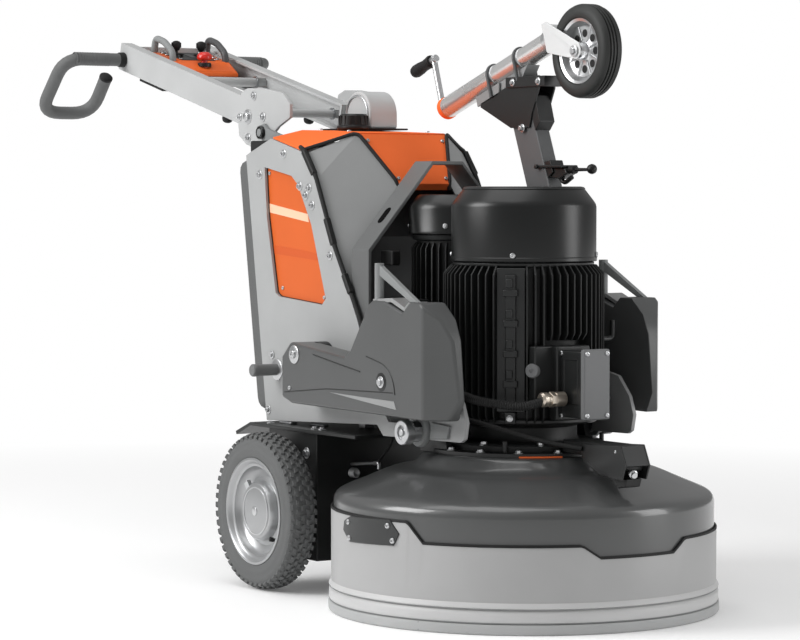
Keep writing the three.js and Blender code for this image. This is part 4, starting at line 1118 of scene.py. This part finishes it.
def make_main_motor():
    body = "head"
    Shape("motor_core", cast_black, body, 0.5, ["main_motor_housing"]).lathe(
        [[60, 338.3], [165, 338.3], [165, 350], [160, 353], [116, 356], [112, 362], [112, 384],
        [126, 390], [139, 394], [139, 722], [60, 722]], segments=96)
    fins = Shape("motor_fins", cast_black, body, 0.8, segments=1)
    count = 60
    for k in range(count):
        angle = 360 * (k + 0.5) / count
        if abs(angle - 315) < 12:  # the cable channel takes their place
            continue
        foot = 566 if min(angle, 360 - angle) < 17 else 398  # above the terminal box
        fins.prism([(134, foot), (158, foot), (168, foot + 14), (168, 700), (152, 718), (134, 718)], -1.9,
            1.9, spoke((0, 0, 0), (0, 0, 1), angle))
    flange = Shape("motor_bells", black_satin, body, 2.5, segments=3)
    flange.lathe([[130, 712], [140, 712], [146, 717], [147, 724], [130, 726]], segments=96)
    flange.lathe([[130, 392], [150, 392], [156, 396], [156, 404], [130, 404]], segments=96)
    for k in range(4):
        matrix = spoke((0, 0, 0), (0, 0, 1), 45 + 90 * k)
        flange.box((138, 396, -11), (168, 420, 11), matrix)
        if k == 3:
            flange.box((130, 420, -30), (157, 714, 30), matrix)
            flange.box((150, 440, -11), (163, 700, 11), matrix)
            for step in range(4):
                flange.box((156, 470 + 62 * step, -15), (166, 484 + 62 * step, 15), matrix)
                flange.box((156, 488 + 62 * step, -5), (168, 506 + 62 * step, 9), matrix)
    bolts = Shape("motor_bolts", silver_bolt, body, 0.4)
    for k in range(8):
        at, _ = round_post(22.5 + 45 * k, 152, 351)
        bolts.bolt(at, (0, 0, 1), 7, 6)
    for k in range(4):
        at, out = round_post(45 + 90 * k + 1, 151.5, 739)
        bolts.screw(at, out, 6)
        at, out = round_post(45 + 90 * k, 168, 408)
        bolts.bolt(at, out, 4.5, 3)
    make_main_cowl(body)
    repaint("main_motor_rotor", steel)


def make_main_cowl(body):
    Shape("cowl_shell", black_gloss, body, 0, ["main_motor_cowl"], smooth=30).lathe(
        [[148, 725.3], [151, 725.3], [152.5, 727], [152.5, 733], [151, 735], [151, 838], [149.5, 844],
        [145, 851], [128, 873], [124, 877], [120, 879.4], [116, 880], [112, 879], [108, 876],
        [62, 876], [62, 873], [108, 873], [118, 875], [142, 848], [148, 836]], segments=128)
    Shape("cowl_rim", black_gloss, body, 0, smooth=60).lathe(
        [[118, 877.6], [124, 876.4], [127, 873.4], [128.2, 874.6], [125, 878.6], [119, 880]], segments=128)
    grille = Shape("cowl_grille", black_satin, body, 0.5)
    for r in (18, 30, 42, 54):
        grille.lathe(ring(r, r + 3, 873, 876), segments=72)
    for k in range(6):
        grille.box((6, 871.5, -2.5), (64, 875, 2.5), spoke((0, 0, 0), (0, 0, 1), 60 * k))
    grille.lathe(disc(12, 872, 877), segments=40)


def make_drum_motor():
    body = "head"
    at = DRUM_AXIS
    Shape("drum_motor_core", cast_black, body, 0.5, ["drum_motor_housing"]).lathe(
        [[50, 338.3], [80, 338.3], [80, 386], [88, 392], [88, 400], [79, 404], [79, 764], [88, 766],
        [90, 770], [90, 777], [50, 777]], at, segments=72)
    fins = Shape("drum_motor_fins", cast_black, body, 0.6, segments=1)
    for k in range(36):
        fins.prism([(76, 408), (86, 408), (92, 416), (92, 748), (84, 760), (76, 760)], -1.5, 1.5,
            spoke(at, (0, 0, 1), 10 * k + 5))
    Shape("drum_cowl_shell", black_gloss, body, 0, ["drum_motor_cowl"], smooth=30).lathe(
        [[94, 778.3], [97, 778.3], [98, 780], [98, 786], [97, 788], [97, 832], [94, 841], [80, 859],
        [75, 862.6], [70, 863], [40, 863], [40, 860], [76, 860], [93, 838], [94, 830]], at, segments=96)
    grille = Shape("drum_cowl_grille", black_satin, body, 0.4)
    for r in (10, 20, 30):
        grille.lathe(ring(r, r + 3, 859.5, 862), at, segments=56)
    for k in range(6):
        grille.box((3, 858, -2), (41, 861, 2), spoke(at, (0, 0, 1), 60 * k))
    bolts = Shape("drum_motor_bolts", silver_bolt, body, 0.4)
    for k in range(4):
        post, out = round_post(45 + 90 * k, 97, 796, at)
        bolts.bolt(post, out, 3.6, 3)
    terminal = Shape("drum_terminal_box", black_satin, body, 4, segments=3).box(
        (-300, -128, 520), (-220, -88, 640))
    terminal.box((-304, -134, 516), (-216, -126, 644))


# ---- head electrics ----
def corrugated(shape, points, bend, r, pitch=2.5, sides=18):
    """A hose whose radius rises and falls along its path."""
    path = rounded(points, bend, 12)
    even = [path[0]]
    for a, b in zip(path, path[1:]):
        steps = max(1, round((b - a).length / pitch))
        even += [a.lerp(b, k / steps) for k in range(1, steps + 1)]
    shape.tube(even, r, 0, sides)
    for k in range(0, len(even), 2):
        for i in range(k * sides, (k + 1) * sides):
            shape.points[i] = even[k] + (shape.points[i] - even[k]) * 0.82


def make_electrics():
    body = "head"
    box = Shape("terminal_case", black_satin, body, 4, ["terminal_box"], segments=3).box(
        (150, -31, 412), (243, 31, 548))
    box.box((148, -42, 404), (176, 42, 556))
    box.box((136, -86, 440), (160, -36, 556))
    Shape("terminal_lid", lid_grey, body, 4, segments=3).box((243, -33, 409), (256, 33, 552))
    frame_line = Shape("terminal_panels", black_gloss, body)
    for side in (-1, 1):
        y = side * 31
        for a, b in (((186, 440), (232, 440)), ((232, 440), (232, 530)), ((232, 530), (186, 530)),
                ((186, 530), (186, 440))):
            frame_line.tube([(a[0], y, a[1]), (b[0], y, b[1])], 1.4, 0, 8)
    bolts = Shape("terminal_screws", silver_bolt, body, 0.3)
    for y in (-25, 25):
        for z in (418, 543):
            bolts.screw((256, y, z), (1, 0, 0), 5)
    for z in (414, 542):
        bolts.screw((177, -31, z), (0, -1, 0), 5).screw((177, 31, z), (0, 1, 0), 5)
    Shape("terminal_plug", lid_grey, body, 0.6).lathe(
        [[0, -6], [15, -6], [15, 2], [13, 5], [4, 5], [4, 3], [0, 3]], (152, -86, 506), (0.55, -0.84, 0),
        36)
    gland = Shape("cable_gland", brass, body, 0.7).lathe(disc(15, 40, 64), (196, 0, 450), (0, -1, 0), 32)
    gland.lathe(disc(16, 64, 76), (196, 0, 450), (0, -1, 0), 6)
    gland.lathe([[0, 74], [13, 74], [13, 82], [15, 84], [15, 94], [11, 98], [0, 98]], (196, 0, 450),
        (0, -1, 0), 28)
    route = [(196, -74, 450), (196, -140, 436), (120, -196, 446), (20, -196, 462), (-60, -196, 470),
        (-104, -158, 440), (-104, -158, 338.6)]
    corrugated(Shape("conduit_hose", black_rubber, body, 0, ["motor_conduit"], smooth=60), route, 30, 9.5)
    Shape("signal_cable", black_rubber, body).tube(
        [(-84, -176, 398), (-20, -190, 414), (80, -168, 400), (190, -96, 366), (250, -34, 352)], 5, 60, 14)
    make_front_box()
    Shape("side_hook", black_satin, body, 0.5).tube(
        [(60, 158, 560), (60, 186, 560), (60, 186, 600)], 6, 12, 14)


def make_front_box():
    body = "head"
    edge = [(176, 338.4), (176, 366), (374, 366), (374, 318), (346, 301), (300, 301), (246, 326),
        (240, 338.4)]
    Shape("front_case", black_satin, body, 3, ["front_junction_box"], segments=3).plate(edge, -28, 28)
    sides = Shape("front_side_plates", black_satin, body, 1)
    outline = [(219, 360), (372, 367), (391, 327), (380, 298), (340, 300), (292, 318), (236, 346)]
    sides.plate(outline, -32, -28).plate(outline, 28, 32)
    sides.plate([(372, 367), (391, 327), (386, 324), (367, 364)], -28, 28)
    Shape("front_foot", black_plate, body, 2, segments=3).plate(
        [(336, 306), (382, 300), (376, 284), (352, 280), (330, 294)], -20, 18)
    bits = Shape("front_fittings", silver_bolt, body, 0.5).lathe(
        [[0, 0], [9, 0], [9, 7], [6, 9], [6, 14], [0, 14]], (380, -6, 312), (0.9, -0.2, -0.3), 28)
    for side in (-1, 1):
        for x, z in ((232, 352), (360, 354)):
            bits.screw((x, side * 32, z), (0, side, 0), 3.4)


def make_grinding_tools():
    repaint("planet_drum", steel)
    for k in range(3):
        repaint(f"grinding_disc_{k + 1}", cast_black)


make_camera()
make_studio()
make_floor()
make_cabinet()
make_rear_door()
make_guard_loop()
make_running_gear()
make_rear_wheels()
make_weights()
make_handle()
make_remote()
make_mast()
make_jockey_tube()
make_crank()
make_jockey_wheel()
make_skirt()
make_hood()
make_head_plate()
make_main_motor()
make_drum_motor()
make_electrics()
make_grinding_tools()
for shape in Shape.made:
    shape.build()
